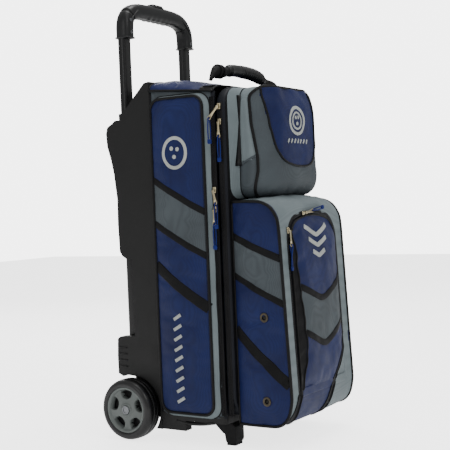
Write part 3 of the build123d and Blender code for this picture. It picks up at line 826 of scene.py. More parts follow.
skins = {}
for name, side in SIDES.items():
    shape = Shape()
    wall_columns = [(lerp(BODY_FRONT, BODY_REAR, i / 24),
                     1.1 * (1 - (1 - min(1, min(i, 24 - i) / 4)) ** 2)) for i in range(25)]
    rows = [[mm(side * (149.2 + lift), y, lerp(58.0, wall_top(y), j / 60))
             for y, lift in wall_columns] for j in range(61)]
    shape.add(rows, lambda p: CHAR_I if p.y < -0.0625 else SLATE_I, free=True)
    skin_piece = shape.piece("side_wall_" + name + "_cloth", CLOTHS, None,
                             ["side_wall_" + name], "side_fabric")
    creased(skin_piece, shape.loose, 0.0012, (20, 20, 20), 7.7 * side)
    skins[name] = thickened(skin_piece, 0.008)

# top of the ball section: a blue crown with rounded sides
TOP_RISE, TOP_HALF = 20.0, 150.6


def crown_z(x, y):
    """Height of the blue top over x and y."""
    share = min(1.0, abs(x) / TOP_HALF)
    rise = TOP_RISE * lerp(0.6, 1.0, smooth((y + 45) / 70))
    return wall_top(y) + rise * (1 - share**7) ** 0.55


shape = Shape()
shape.add([[mm(x, y, crown_z(x, y)) for x in
            (TOP_HALF * sin(lerp(-pi / 2, pi / 2, i / 60)) for i in range(61))]
           for y in (lerp(BODY_FRONT, BODY_REAR, j / 28) for j in range(29))],
          BLUE_I, free=True)
top_cloth = shape.piece("body_top_cloth", CLOTHS, None, ["body_top"], "blue_fabric")
creased(top_cloth, shape.loose, 0.0022, (9, 22, 9), 1.3)
soften(top_cloth, shape, 0.004, 2.5, 0.01)

# front section (door): a rounded band of black cloth round its edge
DOOR_Y = (-73.2, -92.4)


def door_loop(grow):
    """Grid over the front section's outline, grown outwards."""
    return rounded_rows(-147.0 - grow, 147.0 + grow, 58.0 - grow, 716.0 + grow, 44.0 + grow,
                        8.0, 30)


shape = Shape()
previous = None
for share, grow in ((0.0, -3.0), (0.04, -0.8), (0.2, 0.1), (0.5, 0.4), (0.8, 0.1), (0.96, -0.8),
                    (1.0, -3.0)):
    y = lerp(DOOR_Y[0], DOOR_Y[1], share)
    loop = [mm(a, y, b) for a, b in rim_of(door_loop(grow))]
    previous = shape.ring(loop, previous, CHAR_I)
for y, pick in ((DOOR_Y[0], LINING_I), (DOOR_Y[1], BLACK_I)):
    shape.add([[mm(a, y, b) for a, b in row] for row in door_loop(-3.0)], pick)
shape.piece("door_cloth", CLOTHS, "ball_door", ["door_panel"], "dark_fabric")

# shoe compartment: the wrap over its top, front and underside, and its two sides
SHOE_HALF = 134.0
side_profile = [(-93, 47.5), (-150, 47.5), (-180, 49), (-196, 58), (-206, 74), (-211.5, 98),
                (-211.8, 116), (-207.9, 200), (-203.9, 288), (-200.0, 374), (-196.8, 436),
                (-191, 458), (-177, 476), (-157, 485), (-130, 487), (-93, 487)]
mid_profile = [(-93, 46.5), (-150, 46.5), (-182, 48), (-199, 56), (-208.5, 72), (-212.5, 98),
               (-211.9, 116), (-208.0, 200), (-204.0, 288), (-200.1, 374), (-197.0, 450),
               (-195.5, 472), (-187, 486), (-165, 495), (-132, 496), (-93, 493)]
side_line = evened(curve_through([(0, y, z) for y, z in side_profile], 6), 5.0)
mid_line = curve_through([(0, y, z) for y, z in mid_profile], 6)
mid_line = evened(mid_line, sum((b - a).length for a, b in zip(mid_line, mid_line[1:]))
                  / (len(side_line) - 1))
columns = [-134, -132.5, -130, -127, -123, -118, -112, -107]
columns += [lerp(-102, 102, i / 40) for i in range(41)] + [-c for c in reversed(columns)]


def left_band(z):
    """Outer and inner edge of the black band left of the flap's blue, at a height."""
    return (table([(46, -133), (60, -129), (85, -115), (110, -107), (300, -107)], z),
            table([(46, -110), (54, -107), (85, -101), (124, -84), (177, -74), (289, -77),
                   (400, -86), (445, -93)], z))


def right_band(z):
    """Inner and outer edge of the black band that closes in below, right of the blue."""
    inner = table([(46, -16), (50, -8), (83, 20), (110, 38), (155, 62), (195, 88), (212, 100)],
                  z)
    return inner, inner + table([(46, 26), (83, 17), (110, 14), (195, 12), (212, 10)], z)


def front_pick(x, z):
    """Colour of the front under and on the flap, from the bands that cross it."""
    left, right = left_band(z), right_band(z)
    if x < left[0] or x > right[1]:
        return PALE_I
    return BLACK_I if x < left[1] or x > right[0] else BLUE_I


def wrap_pick(p):
    x, z = p.x / MM, p.z / MM
    v = (Vector((0, p.y, p.z)) / MM - FRONT_ORIGIN).dot(SLOPE)
    if p.y < -0.185 and abs(x) < 102 and 1.0 < v < front_arch(x, 102, 352, 34):
        return None
    return front_pick(x, z) if z < 112 and p.y < -0.1 else PALE_I


shape = Shape()
rows = [[Vector((x, *side_point.lerp(mid_point, 1 - (abs(x) / SHOE_HALF) ** 3.0).yz)) * MM
         for x in columns] for side_point, mid_point in zip(side_line, mid_line)]
shape.add(rows, wrap_pick)
wrap = shape.piece("shoe_wrap_cloth", CLOTHS, None, ["shoe_compartment"], "light_fabric")
on_its_top = [i for i, v in enumerate(wrap.data.vertices)
              if abs(v.co.x) < 0.125 and v.co.y < -0.11 and v.co.z > 0.476]
creased(wrap, on_its_top, 0.003, (16, 30, 16), 5.2)
modified(wrap, "SOLIDIFY", thickness=0.006, offset=-1.0, material_offset=TO_LINING)
modified(wrap, "SUBSURF", levels=1, render_levels=1)
baked(wrap)

SHOE_BANDS = ((420.0, 371.0, 14.0), (343.0, 284.5, 12.5), (236.0, 134.0, 21.0))


def shoe_band(y, left, right):
    """Height of a slanted band on the shoe section's side over y, from its two ends."""
    return lerp(left, right, (-92.5 - y) / 114.0)


shoe_front = sorted((p.z, p.y) for p in side_line if p.y < -120 and 50 < p.z < 486)
SHOE_LEVELS = [48.5, 50.5, 54, 58, 63, 69] + [lerp(75, 440, k / 66) for k in range(67)] + [
    446, 453, 460, 467, 473, 478, 481.5, 484, 486]
shoe_sides = {}
for name, side in SIDES.items():
    shape = Shape()
    rows = []
    for z in SHOE_LEVELS:
        front_y = -158.0 if z > 484 else -176.0 if z < 52 else table(shoe_front, z)
        row = []
        for i in range(23):
            y = lerp(-92.8, front_y, i / 22)
            u, v = 1 - abs(2 * i / 22 - 1), min(1, (z - 48) / 60, (486.5 - z) / 60)
            lift = 5.0 * (1 - (1 - u) ** 3) * (1 - (1 - v) ** 2)
            row.append(mm(side * (134.2 + lift), y, z))
        rows.append(row)

    shape.add(rows, banded(shoe_band, SHOE_BANDS), free=True)
    cloth = shape.piece("shoe_side_" + name + "_cloth", CLOTHS, None, slot="blue_fabric")
    creased(cloth, shape.loose, 0.0029, (14, 14, 8), 9.4 * side)
    soften(cloth, shape, 0.0045, 3.0, 0.012)
    shoe_sides[name] = cloth

# flap over the shoe compartment
FLAP_ROWS, FLAP_COLS = 66, 40


def flap_place(x, v, s):
    return on_front(x, v, s) * MM


def chevron(x, middle, wing, reach):
    """Height of a chevron band over x: a soft point in the middle, rising to both wings."""
    return middle + (sqrt(x**2 + 15.0**2) - 15.0) * (wing - middle) / (reach - 13.0)


CHEVRONS = ((177.0, 213.0, 94.0), (86.0, 124.0, 92.0))


def flap_pick(p):
    offset = p / MM - FRONT_ORIGIN
    x, v = offset.x, offset.dot(SLOPE)
    lower, upper = chevron(x, *CHEVRONS[1]), chevron(x, *CHEVRONS[0])
    if BLACK_I != front_pick(x, p.z / MM) != PALE_I:
        return SLATE_I if lower < v < upper else BLUE_I
    return front_pick(x, p.z / MM)


face, base = [], []
for j in range(FLAP_ROWS + 1):
    t = j / FLAP_ROWS
    row, under = [], []
    for i in range(FLAP_COLS + 1):
        u = sin(lerp(-pi / 2, pi / 2, i / FLAP_COLS)) * 0.5 + lerp(-1, 1, i / FLAP_COLS) * 0.5
        x = u * 95.5
        row.append((x, lerp(2.5, front_arch(x, 95.5, 345.0, 32.0), t)))
        under.append((u * 96.8, lerp(2.0, front_arch(u * 96.8, 96.8, 346.6, 31.0), t)))
    face.append(row)
    base.append(under)


def flap_wall_pick(p):
    v = (p / MM - FRONT_ORIGIN).dot(SLOPE)
    return front_pick(p.x / MM, p.z / MM) if v < 5 or (p.x > 0 and v < 92) else BLACK_I


shape, rim = pad(flap_place, face, base, lambda a, b: 0.9 + 2.3 * smooth(b / 40),
                 lambda a, b: 6.6 * smooth((b + 20) / 90) * (1 - 0.25 * smooth((b - 250) / 90)),
                 flap_pick, flap_wall_pick, power=3.4)
flap_cloth = shape.piece("shoe_flap_cloth", CLOTHS, None, ["shoe_flap"], "blue_fabric")
creased(flap_cloth, shape.loose, 0.0027, (14, 14, 10), 2.9)
soften(flap_cloth, shape, 0.004, 3.0, 0.012)
flap_rim = [flap_place(a, b, 0.7 + 2.3 * smooth(b / 40)) for a, b in rim[len(face[0]) - 1:]
            if a < 0 or b > 92]
flap_rim.append(flap_place(*rim[0], 0.7))

# accessory pouch: base, then its lid with a bulging front
POUCH_Z = (492.5, 715.0)


def split_y(z):
    """Where the lid parts from its base, in row millimetres."""
    return table([(480, -99.5), (560, -101.0), (640, -103.5), (716, -106.5)], z)


def piping_y(x, z):
    side_y = table([(492, -127), (545, -142), (575, -142), (640, -130), (690, -127),
                    (700, -128)], z)
    top = smooth((z - 694) / 22) * (0.55 + 0.45 * smooth((95 - abs(x)) / 40))
    return lerp(side_y, -158.0, top)


def flared(x, share):
    """Spread of the pouch's base: wide against the door, narrow at the lid."""
    return x * (1 + 0.225 * (1 - share) ** 1.4)


pouch_back = rounded_rows(-110.0, 110.0, *POUCH_Z, 26.0, 7.0, 30)
shape = Shape()
previous = None
for share in (k / 8 for k in range(9)):
    loop = [mm(flared(a, share), lerp(-92.6, split_y(b) + 0.5, share), b)
            for a, b in rim_of(pouch_back)]
    previous = shape.ring(loop, previous, PALE_I)
for share, pick in ((0, BLACK_I), (1, LINING_I)):
    shape.add([[mm(flared(a, share), lerp(-92.6, split_y(b) + 0.5, share), b)
                for a, b in row] for row in pouch_back], pick)
shape.piece("pouch_base_cloth", CLOTHS, "ball_door", ["accessory_pouch"], "light_fabric")

BLUE_PANEL = [(-92, 711), (-92, 690), (-88, 660), (-82, 630), (-76, 600), (-66, 580),
              (-50, 565), (-20, 557), (15, 555), (42, 557), (60, 563), (73, 576), (79, 600),
              (80, 650), (76, 690), (70, 711)]


def inside(outline, x, y):
    """Even-odd test of a point in a closed outline."""
    found = False
    for (x0, y0), (x1, y1) in zip(outline, outline[1:] + outline[:1]):
        if (y0 > y) != (y1 > y) and x < x0 + (x1 - x0) * (y - y0) / (y1 - y0):
            found = not found
    return found


def bow(x):
    """How far the lid's right side stands out, which the pouch's fuller side needs."""
    return 5.0 * smooth(x / 100)


def lid_face_pick(p):
    return BLUE_I if inside(BLUE_PANEL + [(70, 730), (-92, 730)], p.x / MM, p.z / MM) \
        else SLATE_I


def lid_wall_pick(p):
    return SLATE_I if p.z / MM < 560 + (p.y / MM + 100) * -0.45 else PALE_I


shape = Shape()
face = rounded_rows(-109.0, 109.0, 494.0, 714.0, 27.0, 6.0, 36)
rows = []
for row, marks in zip(face, edge_distance(face)):
    line = []
    for (a, b), (u, v) in zip(row, marks):
        edge_y = piping_y(a, b)
        crown = (1 - (1 - u) ** (18.0 if a > 0 else 6.0)) * (1 - (1 - v) ** 6.5)
        line.append(mm(a + bow(a), lerp(edge_y, -167.5 + 0.02 * abs(a), crown), b))
    rows.append(line)
numbered = shape.add(rows, lid_face_pick, free=True)
previous = rim_of(numbered)
rim = rim_of(face)
lid_piping = [mm(a + bow(a), piping_y(a, b), b) for a, b in rim]
for share, swell in ((0.3, 1.0), (0.6, 1.3), (0.9, 0.6), (1.0, 0.0)):
    loop = []
    for a, b in rim:
        scale = 1 + swell / 110
        loop.append(mm(a * scale + bow(a) * (1 - share),
                       lerp(piping_y(a, b), split_y(b) - 0.5, share),
                       604 + (b - 604) * scale))
    previous = shape.ring(loop, previous, lid_wall_pick)
closing = shape.add([[mm(a, split_y(b) - 0.6, b) for a, b in row] for row in face], LINING_I)
shape.join([previous, rim_of(closing)], LINING_I, True)
lid_cloth = shape.piece("pouch_lid_cloth", CLOTHS, None, ["pouch_lid"], "light_fabric")
creased(lid_cloth, shape.loose, 0.0036, (13, 13, 9), 4.4)
soften(lid_cloth, shape, 0.004, 3.0, 0.012)

# ---------------------------------------------------------------- soft bodies: the cloth run
inflate()
smoothed_all()

# ---------------------------------------------------------------- trims on the soft bodies
SOUTH = Vector((0, 1, 0))
PIPE = 0.0030
CARRY_Y = -55.5
for name, side in SIDES.items():
    pocket, edge_line, foot_line = pockets[name]
    inward = Vector((-side, 0, 0))
    on_pocket, on_wall = Skin(pocket), Skin(skins[name])
    trim = Shape()
    edge_line = evened(edge_line, 0.005, True)
    trim.tube(edge_line, PIPE, True, PIPE_I)
    trim.tube(evened([on_wall.at(p, inward)[0] for p in foot_line], 0.005, True), 0.0015, True,
              PIPE_I)
    for left, right_end, width in POCKET_BANDS:
        line = [mm(side * 165, y, band_between(y, left, right_end)) for y in (-48, 15, 77)]
        if width > 20:
            line = curve_through([mm(side * 165, 77, left - 3), mm(side * 165, 20, 324),
                                  mm(side * 165, -48, right_end + 2)], 6)
        stitched_band(trim, on_pocket, line, inward, width, 1.12)
    # embroidered badge: a ring with three dots, and a column of slanted bars
    badge = mm(side * 165, 16, 590)
    circle = oval(badge, mm(0, 27, 0), mm(0, 0, 30), 40)
    ribbon(trim, on_pocket, circle, inward, 0.007, BADGE_THICK, THREAD_I, closed=True)
    for dy, dz in ((-7, 7), (7, 9), (1, -8)):
        dot = oval(badge + mm(0, dy, dz), mm(0, 2.2, 0), mm(0, 0, 2.2), 12)
        ribbon(trim, on_pocket, dot, inward, 0.0044, BADGE_THICK, THREAD_I, step=0.0012,
               closed=True)
    for k in range(9):
        at = mm(side * 165, 25, 92 + 21 * k)
        ribbon(trim, on_pocket, [at + mm(0, 9, -5), at + mm(0, -9, 5)], inward, 0.0065,
               BAND_THICK, THREAD_I)
    # seams of the wall: along the top, the shell and the zip
    upper = [mm(side * 151.5, y, wall_top(y)) for y in (BODY_REAR, 40, 0, -40, BODY_FRONT)]
    trim.tube(evened(upper, 0.006), 0.0023, pick=PIPE_I)
    shell_seam = [mm(side * 152, BODY_REAR - 2.5, z) for z in (60, 300, 500, 718)]
    ribbon(trim, on_wall, shell_seam, inward, 0.005, 0.0012, BLACK_I, step=0.01)
    seam = rim_of(rounded_rows(-45.0, 74.0, 68.0, 697.0, 19.0, 5.5, 24))
    stitches(trim, on_pocket, [mm(side * 165, a, b) for a, b in seam], inward, STITCH_I,
             closed=True)
    trim.piece("side_trim_" + name, CLOTHS, "bag", slot="dark_fabric")
    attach(pocket, "bag")
    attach(skins[name], "bag")

# top: binding at its front and back, and the webbing under the carrying handle
trim = Shape()
for y, radius in ((BODY_FRONT + 1.0, 2.0), (BODY_REAR - 1.5, 2.2)):
    line = [mm(150.6 * sin(a), y, crown_z(150.6 * sin(a), y) + 0.6)
            for a in (lerp(-pi / 2, pi / 2, k / 60) for k in range(61))]
    trim.tube(evened(line, 0.006), radius * MM, pick=PIPE_I)
for side in SIDES.values():
    rows = []
    for k in range(15):
        x = side * 150.9 * sin(lerp(0.80, pi / 2, k / 14))
        rows.append([mm(x * 1.004, CARRY_Y + w, crown_z(min(150.5, abs(x)), CARRY_Y + w) + lift)
                     for w, lift in ((-17.5, 0.2), (-17, 1.4), (0, 1.6), (17, 1.4),
                                     (17.5, 0.2))])
    trim.add(rows, WEB_I)
top_trim = thickened(trim.piece("body_top_trim", CLOTHS, None, slot="webbing"), 0.0006)
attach(top_trim, "bag")
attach(top_cloth, "bag")

# shoe compartment: bands, piping, eyelets, and the black bands that run under the flap
for name, side in SIDES.items():
    inward = Vector((-side, 0, 0))
    on_side = Skin(shoe_sides[name])
    trim = Shape()
    for left, right_end, width in SHOE_BANDS:
        line = [mm(side * 150, y, shoe_band(y, left, right_end)) for y in (-93, -150)]
        front_y = table(shoe_front, right_end)
        line.append(mm(side * 150, front_y + 0.5, shoe_band(front_y, left, right_end)))
        stitched_band(trim, on_side, line, inward, width, 1.15)
    rings = Shape()
    for y, z in ((-161.6, 261.0), (-163.0, 98.5)):
        hit, normal = on_side.at(mm(side * 150, y, z), inward)
        for radius, thick, height in ((7.2, 0.0019, 0.0008), (5.6, 0.0011, 0.0012)):
            loop = oval(hit - inward * height, mm(0, radius, 0), mm(0, 0, radius * 1.08), 32)
            rings.tube(loop, thick, True, 0, out=-inward)
        # a near-black disc sunk into each eyelet: painted shade in the hole
        hole_shade_disc = oval(hit - inward * 0.0004, mm(0, 5.4, 0), mm(0, 0, 5.4 * 1.08), 32)
        rings.loft([hole_shade_disc, [q + inward * 0.004 for q in hole_shade_disc]], 1)
    rings.piece("eyelets_" + name, [GUNMETAL, HOLE_SHADE], "ball_door",
                ["grommets"] if side < 0 else (), "grommet")
    edge = [mm(side * 134.4, p.y, p.z) for p in side_line]
    trim.tube(evened(edge, 0.006), 0.0031, pick=PIPE_I)
    rear_edge = [mm(side * 134.8, -93.5, z) for z in (49, 200, 350, 486)]
    trim.tube(evened(rear_edge, 0.01), 0.0022, pick=PIPE_I)
    trim.piece("shoe_side_trim_" + name, CLOTHS, "ball_door", slot="dark_fabric")
    thickened(shoe_sides[name], 0.006, inner=TO_LINING)
    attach(shoe_sides[name], "ball_door")
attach(wrap, "ball_door")
trim = Shape()
on_wrap = Skin(wrap)
FRONT_LEVELS = ((-211.5, 108), (-211, 98), (-209, 82), (-203, 66), (-194, 56), (-183, 50))
for band, edge in ((left_band, 0), (left_band, 1), (right_band, 0), (right_band, 1)):
    line = evened(curve_through([mm(band(z)[edge], y, z) for y, z in FRONT_LEVELS], 4), 0.005)
    hits = []
    for p in line:
        inward = Vector((0, 1, 0)) if p.z > 0.085 else (
            Vector((0, 0, 1)) if p.y > -0.185 else Vector((0, 0.7, 0.7)))
        hit, normal = on_wrap.at(p, inward, 0.02)
        hits.append(hit + normal * 0.0006)
    trim.tube(hits, 0.0016, pick=PIPE_I)
under = trim.piece("shoe_wrap_trim", CLOTHS, None, slot="zip")
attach(under, "ball_door")

# flap: chevron bands, piping and a generic badge of three small chevrons
INTO_FLAP = -FRONT_OUT
on_flap = Skin(flap_cloth)
trim = Shape()
for edge_x, high in ((lambda z: left_band(z)[1], 330), (lambda z: right_band(z)[0], 96),
                     (lambda z: right_band(z)[1], 86)):
    line = []
    for k in range(40):
        v = lerp(1, high, k / 39)
        z = (FRONT_ORIGIN + SLOPE * v).z
        line.append(flap_place(clamp(edge_x(z), -95.0, 95.0), v, 14))
    line = [on_flap.at(p, INTO_FLAP)[0] - INTO_FLAP * 0.0004 for p in evened(line, 0.005)]
    trim.tube(line, 0.0016, pick=PIPE_I)
for middle, wing, reach in CHEVRONS:
    first = left_band((FRONT_ORIGIN + SLOPE * wing).z)[1] + 2
    line = [flap_place(x, chevron(x, middle, wing, reach), 14)
            for x in [lerp(first, 95, i / 38) for i in range(39)]]
    ribbon(trim, on_flap, line, INTO_FLAP, 0.013, 0.0011, WEB_I)
    for shift in (-4.9, 4.9):
        moved = [flap_place(x, chevron(x, middle, wing, reach) + shift, 14)
                 for x in [lerp(first + 2, 93, i / 38) for i in range(39)]]
        stitches(trim, on_flap, [p - INTO_FLAP * 0.0012 for p in moved], INTO_FLAP, STITCH_I)
for k in range(3):
    v = 262 + 21 * k
    wide = 24 + 11 * k
    line = [flap_place(x, v + abs(x) * 0.42, 14) for x in (-wide, -wide / 2, 0, wide / 2, wide)]
    ribbon(trim, on_flap, line, INTO_FLAP, 0.009, 0.0012, THREAD_I)
trim.tube(evened(flap_rim, 0.005), 0.0017, pick=PIPE_I)
trim.piece("shoe_flap_trim", CLOTHS, "shoe_flap", slot="dark_fabric")
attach(flap_cloth, "shoe_flap")

# pouch lid: piping round the front and the blue panel, badge, and the dark pocket's hem
trim = Shape()
on_lid = Skin(lid_cloth)
trim.tube(evened(lid_piping, 0.005, True), 0.0031, True, PIPE_I)
panel_line = curve_through([mm(x, -170, z) for x, z in BLUE_PANEL], 4)
panel_line = [on_lid.at(p, SOUTH)[0] + mm(0, -0.8, 0) for p in evened(panel_line, 0.004)]
trim.tube(panel_line, 0.0023, pick=PIPE_I)
badge = mm(4, -175, 648)
for scale, width in ((1.0, 0.0065), (0.62, 0.004)):
    circle = oval(badge, mm(30 * scale, 0, 0), mm(0, 0, 27 * scale), 44)
    ribbon(trim, on_lid, circle, SOUTH, width, BADGE_THICK, THREAD_I, step=0.003, closed=True)
for dx, dz in ((-6, 6), (6, 7), (0, -6)):
    dot = oval(badge + mm(dx, 0, dz), mm(2, 0, 0), mm(0, 0, 2), 12)
    ribbon(trim, on_lid, dot, SOUTH, 0.004, BADGE_THICK, THREAD_I, step=0.0012, closed=True)
for k in range(7):
    at = mm(-34 + 12.6 * k, -175, 606)
    ribbon(trim, on_lid, [at + mm(-3, 0, -4), at + mm(3, 0, 4)], SOUTH, 0.004, 0.0011, THREAD_I,
           step=0.003)
for side in SIDES.values():
    outward = Vector((side, 0, 0))
    for levels in ((558, 575, 592, 610, 628, 645), (645, 662, 678, 690, 698)):
        loop_a, loop_b = [], []
        for z in levels:
            half = table([(558, 4.4), (645, 0.9), (698, 3.6)], z)
            for loop, way in ((loop_a, 1), (loop_b, -1)):
                y = split_y(z) + way * half
                x = flared(110, (y + 92.6) / (split_y(z) + 92.6)) if way > 0 else 110.9
                loop.append(mm(side * (x + 0.5), y, z))
        rows = [[q - outward * 0.0012, q, r, r - outward * 0.0012]
                for q, r in zip(loop_a, loop_b)]
        tape_rows = trim.add(rows, ZIP_I)
        trim.join([[row[0] for row in tape_rows], [row[-1] for row in tape_rows]], ZIP_I)
        trim.face(tape_rows[0], ZIP_I)
        trim.face(tape_rows[-1], ZIP_I)
    hem = [mm(side * 118, y, 560 + (y + 100) * -0.45) for y in (-98, -112, -126, -140)]
    ribbon(trim, on_lid, hem, Vector((-side, 0, 0)), 0.004, 0.001, SLATE_I)
    stitches(trim, on_lid, [p + mm(0, 0, -3.4) for p in hem], Vector((-side, 0, 0)), STITCH_I)
trim.piece("pouch_lid_trim", CLOTHS, "pouch_lid", slot="dark_fabric")
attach(lid_cloth, "pouch_lid")


# ---------------------------------------------------------------- zips
def spread(line, count):
    length = sum((b - a).length for a, b in zip(line, line[1:]))
    return evened(line, length / count)


def teeth(shape, line, out, height=0.0009):
    """Two rows of interlocking teeth along a line, standing on it."""
    line = evened(line, 0.0026)
    for k, (a, b) in enumerate(zip(line, line[1:])):
        along = (b - a).normalized()
        across = along.cross(out).normalized()
        centre = a + across * (0.0007 if k % 2 else -0.0007)
        corners = [(along * x, across * y) for x, y in
                   ((-0.00085, -0.0014), (0.00085, -0.0014), (0.00085, 0.0014),
                    (-0.00085, 0.0014))]
        shape.loft([[centre + x + y for x, y in corners],
                    [centre + x * 0.6 + y * 0.8 + out * height for x, y in corners]], ZIP_I)


def tape(shape, line, out, width, lift, pick=BLACK_I):
    """Flat tape with thin edges along a line."""
    section = ((-1, -0.0008), (-0.96, lift * 0.7), (-0.8, lift), (0.8, lift),
               (0.96, lift * 0.7), (1, -0.0008))
    loops = []
    for i, point in enumerate(line):
        across = heading(line, i).cross(out).normalized()
        loops.append([point + across * x * width / 2 + out * h for x, h in section])
    shape.loft(loops, pick)


for side_name, side in SIDES.items():
    for where, y, surface, top, body_name in (("rear", -66.05, 150.25, 696, "bag"),
                                              ("front", -82.05, 147.35, 684, "ball_door")):
        main = Shape()
        out = Vector((side, 0, 0))
        line = [mm(side * surface, y, z) for z in (64, 250, 450, top)]
        tape(main, evened(line, 0.02), out, 0.0115, 0.0006)
        if side < 0:
            teeth(main, [p + out * 0.0006 for p in line], out)
        main.piece("zip_" + where + "_" + side_name, CLOTHS, body_name,
                   [where + "_zip"] if side < 0 else (), "zip")


def arch_line(offset):
    """Line round the flap, offset outwards, from its lower left to its lower right."""
    half, high = FLAP_HALF + offset, FLAP_HIGH + offset
    corner = 30.0 + offset
    points = [(-half, -3.0), (-half, 150.0), (-half, front_arch(-half, half, high, corner))]
    for k in range(1, 9):
        x = -half + corner * (1 - cos(pi / 2 * k / 8))
        points.append((x, front_arch(x, half, high, corner)))
    points += [(x, front_arch(x, half, high, corner)) for x in (-50, -30, -10)]
    return points + [(-x, v) for x, v in reversed(points)]


flap_band = Shape()
BAND_STEPS = 190
section = [(0.3, 0.2), (0.9, 0.7), (4.9, 0.9), (9.2, 0.8), (10.6, 0.2), (5.0, -0.4)]


def band_pick(p):
    return PALE_I if p.x > 0 and (p / MM - FRONT_ORIGIN).dot(SLOPE) < 90 else ZIP_I


lines = []
for offset, lift in section:
    lines.append(spread([on_front(x, v, lift) * MM for x, v in arch_line(offset)], BAND_STEPS))
flap_band.loft([[line[k] for line in lines] for k in range(BAND_STEPS + 1)], band_pick)
zip_run = [on_front(x, v, 0.85) * MM for x, v in
           arch_line(ZIP_GAP)[:-2] + [(FLAP_HALF + ZIP_GAP, 92)]]
teeth(flap_band, zip_run, FRONT_OUT, 0.0005)
for offset in (1.6, 8.3):
    stitched = evened([on_front(x, v, 1.1) * MM for x, v in
                       arch_line(offset)[:-2] + [(FLAP_HALF + offset, 92)]], 0.0045)
    for a, b in zip(stitched, stitched[1:]):
        flap_band.tube([a.lerp(b, 0.2), a.lerp(b, 0.5) + FRONT_OUT * 0.0003, a.lerp(b, 0.8)],
                       [0.0002, 0.0004, 0.0002], pick=STITCH_I, sides=5)
flap_band.piece("flap_zip_band", CLOTHS, "ball_door", ["flap_zip"], "zip")

# ---------------------------------------------------------------- cloth hinges
def hinge_cloth(name, rows, slot, pick=BLACK_I):
    """Strip of cloth laid across the gap between two bodies."""
    strip = Shape()
    strip.add(rows, pick)
    return thickened(strip.piece(name, CLOTHS, None, slot=slot), 0.001, 0.0)


door_hinge = hinge_cloth(
    "door_hinge_cloth",
    [[mm(x, y, lerp(66, 690, k / 40)) for y, x in
      ((-56, 150.9), (-62, 151.2), (-68, 151.3), (-73, 151.0), (-78, 149.6), (-84, 148.2),
       (-88, 147.9))] for k in range(41)], "dark_fabric")
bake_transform(door_hinge)

lid_hinge = hinge_cloth(
    "lid_hinge_cloth",
    [[mm(x, split_y(z) + dy, z) for dy, x in
      ((4.4, flared(110, 1 - 4.4 / -(split_y(z) + 92.6)) + 0.5), (1.8, 112.4), (0, 111.6),
       (-2, 112.6), (-6, 114.0), (-11, 115.4))]
     for z in [lerp(520, 690, k / 20) for k in range(21)]], "dark_fabric")
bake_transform(lid_hinge)

flap_hinge = hinge_cloth(
    "flap_hinge_cloth",
    [[on_front(lerp(-98.6, 98.6, k / 96), v, lift) * MM for k in range(97)]
     for v, lift in ((-9, 0.2), (-6, 0.9), (-3, 1.2), (0, 1.4), (3, 1.5), (6, 1.6), (9, 1.6))],
    "blue_fabric", lambda p: front_pick(p.x / MM, p.z / MM))
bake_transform(flap_hinge)

# ---------------------------------------------------------------- carrying handle on top
handle = Shape()
spine = [(-134, 731), (-130, 737), (-121, 745), (-108, 751), (-94, 751), (-80, 750),
         (-66, 755), (-44, 757.5), (-10, 757.5), (24, 756), (50, 752), (66, 747),
         (80, 745), (94, 744), (108, 743), (121, 740), (130, 735), (134, 731)]
line = evened(curve_through([mm(x, CARRY_Y, z) for x, z in spine], 8), 0.0011)


def handle_radius(x):
    """Radius of the carrying handle along the bag: straps, knots, collar and ribbed grip."""
    if x > 72:
        return table([(72, 8.8), (84, 6.4), (110, 5.8), (126, 5.0), (134, 3.6)], x)
    if x < -72:
        return table([(-134, 3.6), (-126, 6.4), (-117, 10.4), (-106, 12.4), (-96, 12.2),
                      (-86, 10.0), (-78, 8.4), (-72, 8.6)], -abs(x))
    if x < -21:
        return table([(-72, 8.6), (-68, 11.6), (-64, 13.0), (-58, 12.4), (-30, 12.4),
                      (-24, 13.0), (-21, 12.2)], x)
    edge = table([(-21, 0.0), (-18, 1.0), (58, 1.0), (72, 0.0)], x)
    rib = 1.5 * sin((x + 21) * 2 * pi / 8.4) * edge
    return table([(-21, 12.0), (40, 12.2), (60, 11.6), (72, 8.8)], x) + rib


radii = [handle_radius(p.x / MM) * MM for p in line]
handle.tube(line, radii, pick=lambda p: WEB_I if abs(p.x) > 0.0725 else PIPE_I, sides=22,
            flat=0.96)
for turn_at, size in ((98, 12.2), (109, 12.4)):
    loop = oval(mm(-turn_at, CARRY_Y, 750.5), mm(0, size, 0), mm(0, 0, size), 28)
    handle.tube(loop, 0.0024, True, WEB_I, out=-WEST)
for side in SIDES.values():
    base_line = [mm(side * x, CARRY_Y, z) for x, z in ((134, 731), (130, 735), (125, 739))]
    tape(handle, evened(curve_through(base_line, 4), 0.003), Vector((side * 0.7, 0, 0.7)),
         0.009, 0.0022, WEB_I)
CLOTHS_GRIP = list(CLOTHS)
CLOTHS_GRIP[PIPE_I] = SMOOTH
handle.piece("carry_handle_body", CLOTHS_GRIP, "carry_handle", ["carry_strap", "carry_grip"],
             "carry_grip")

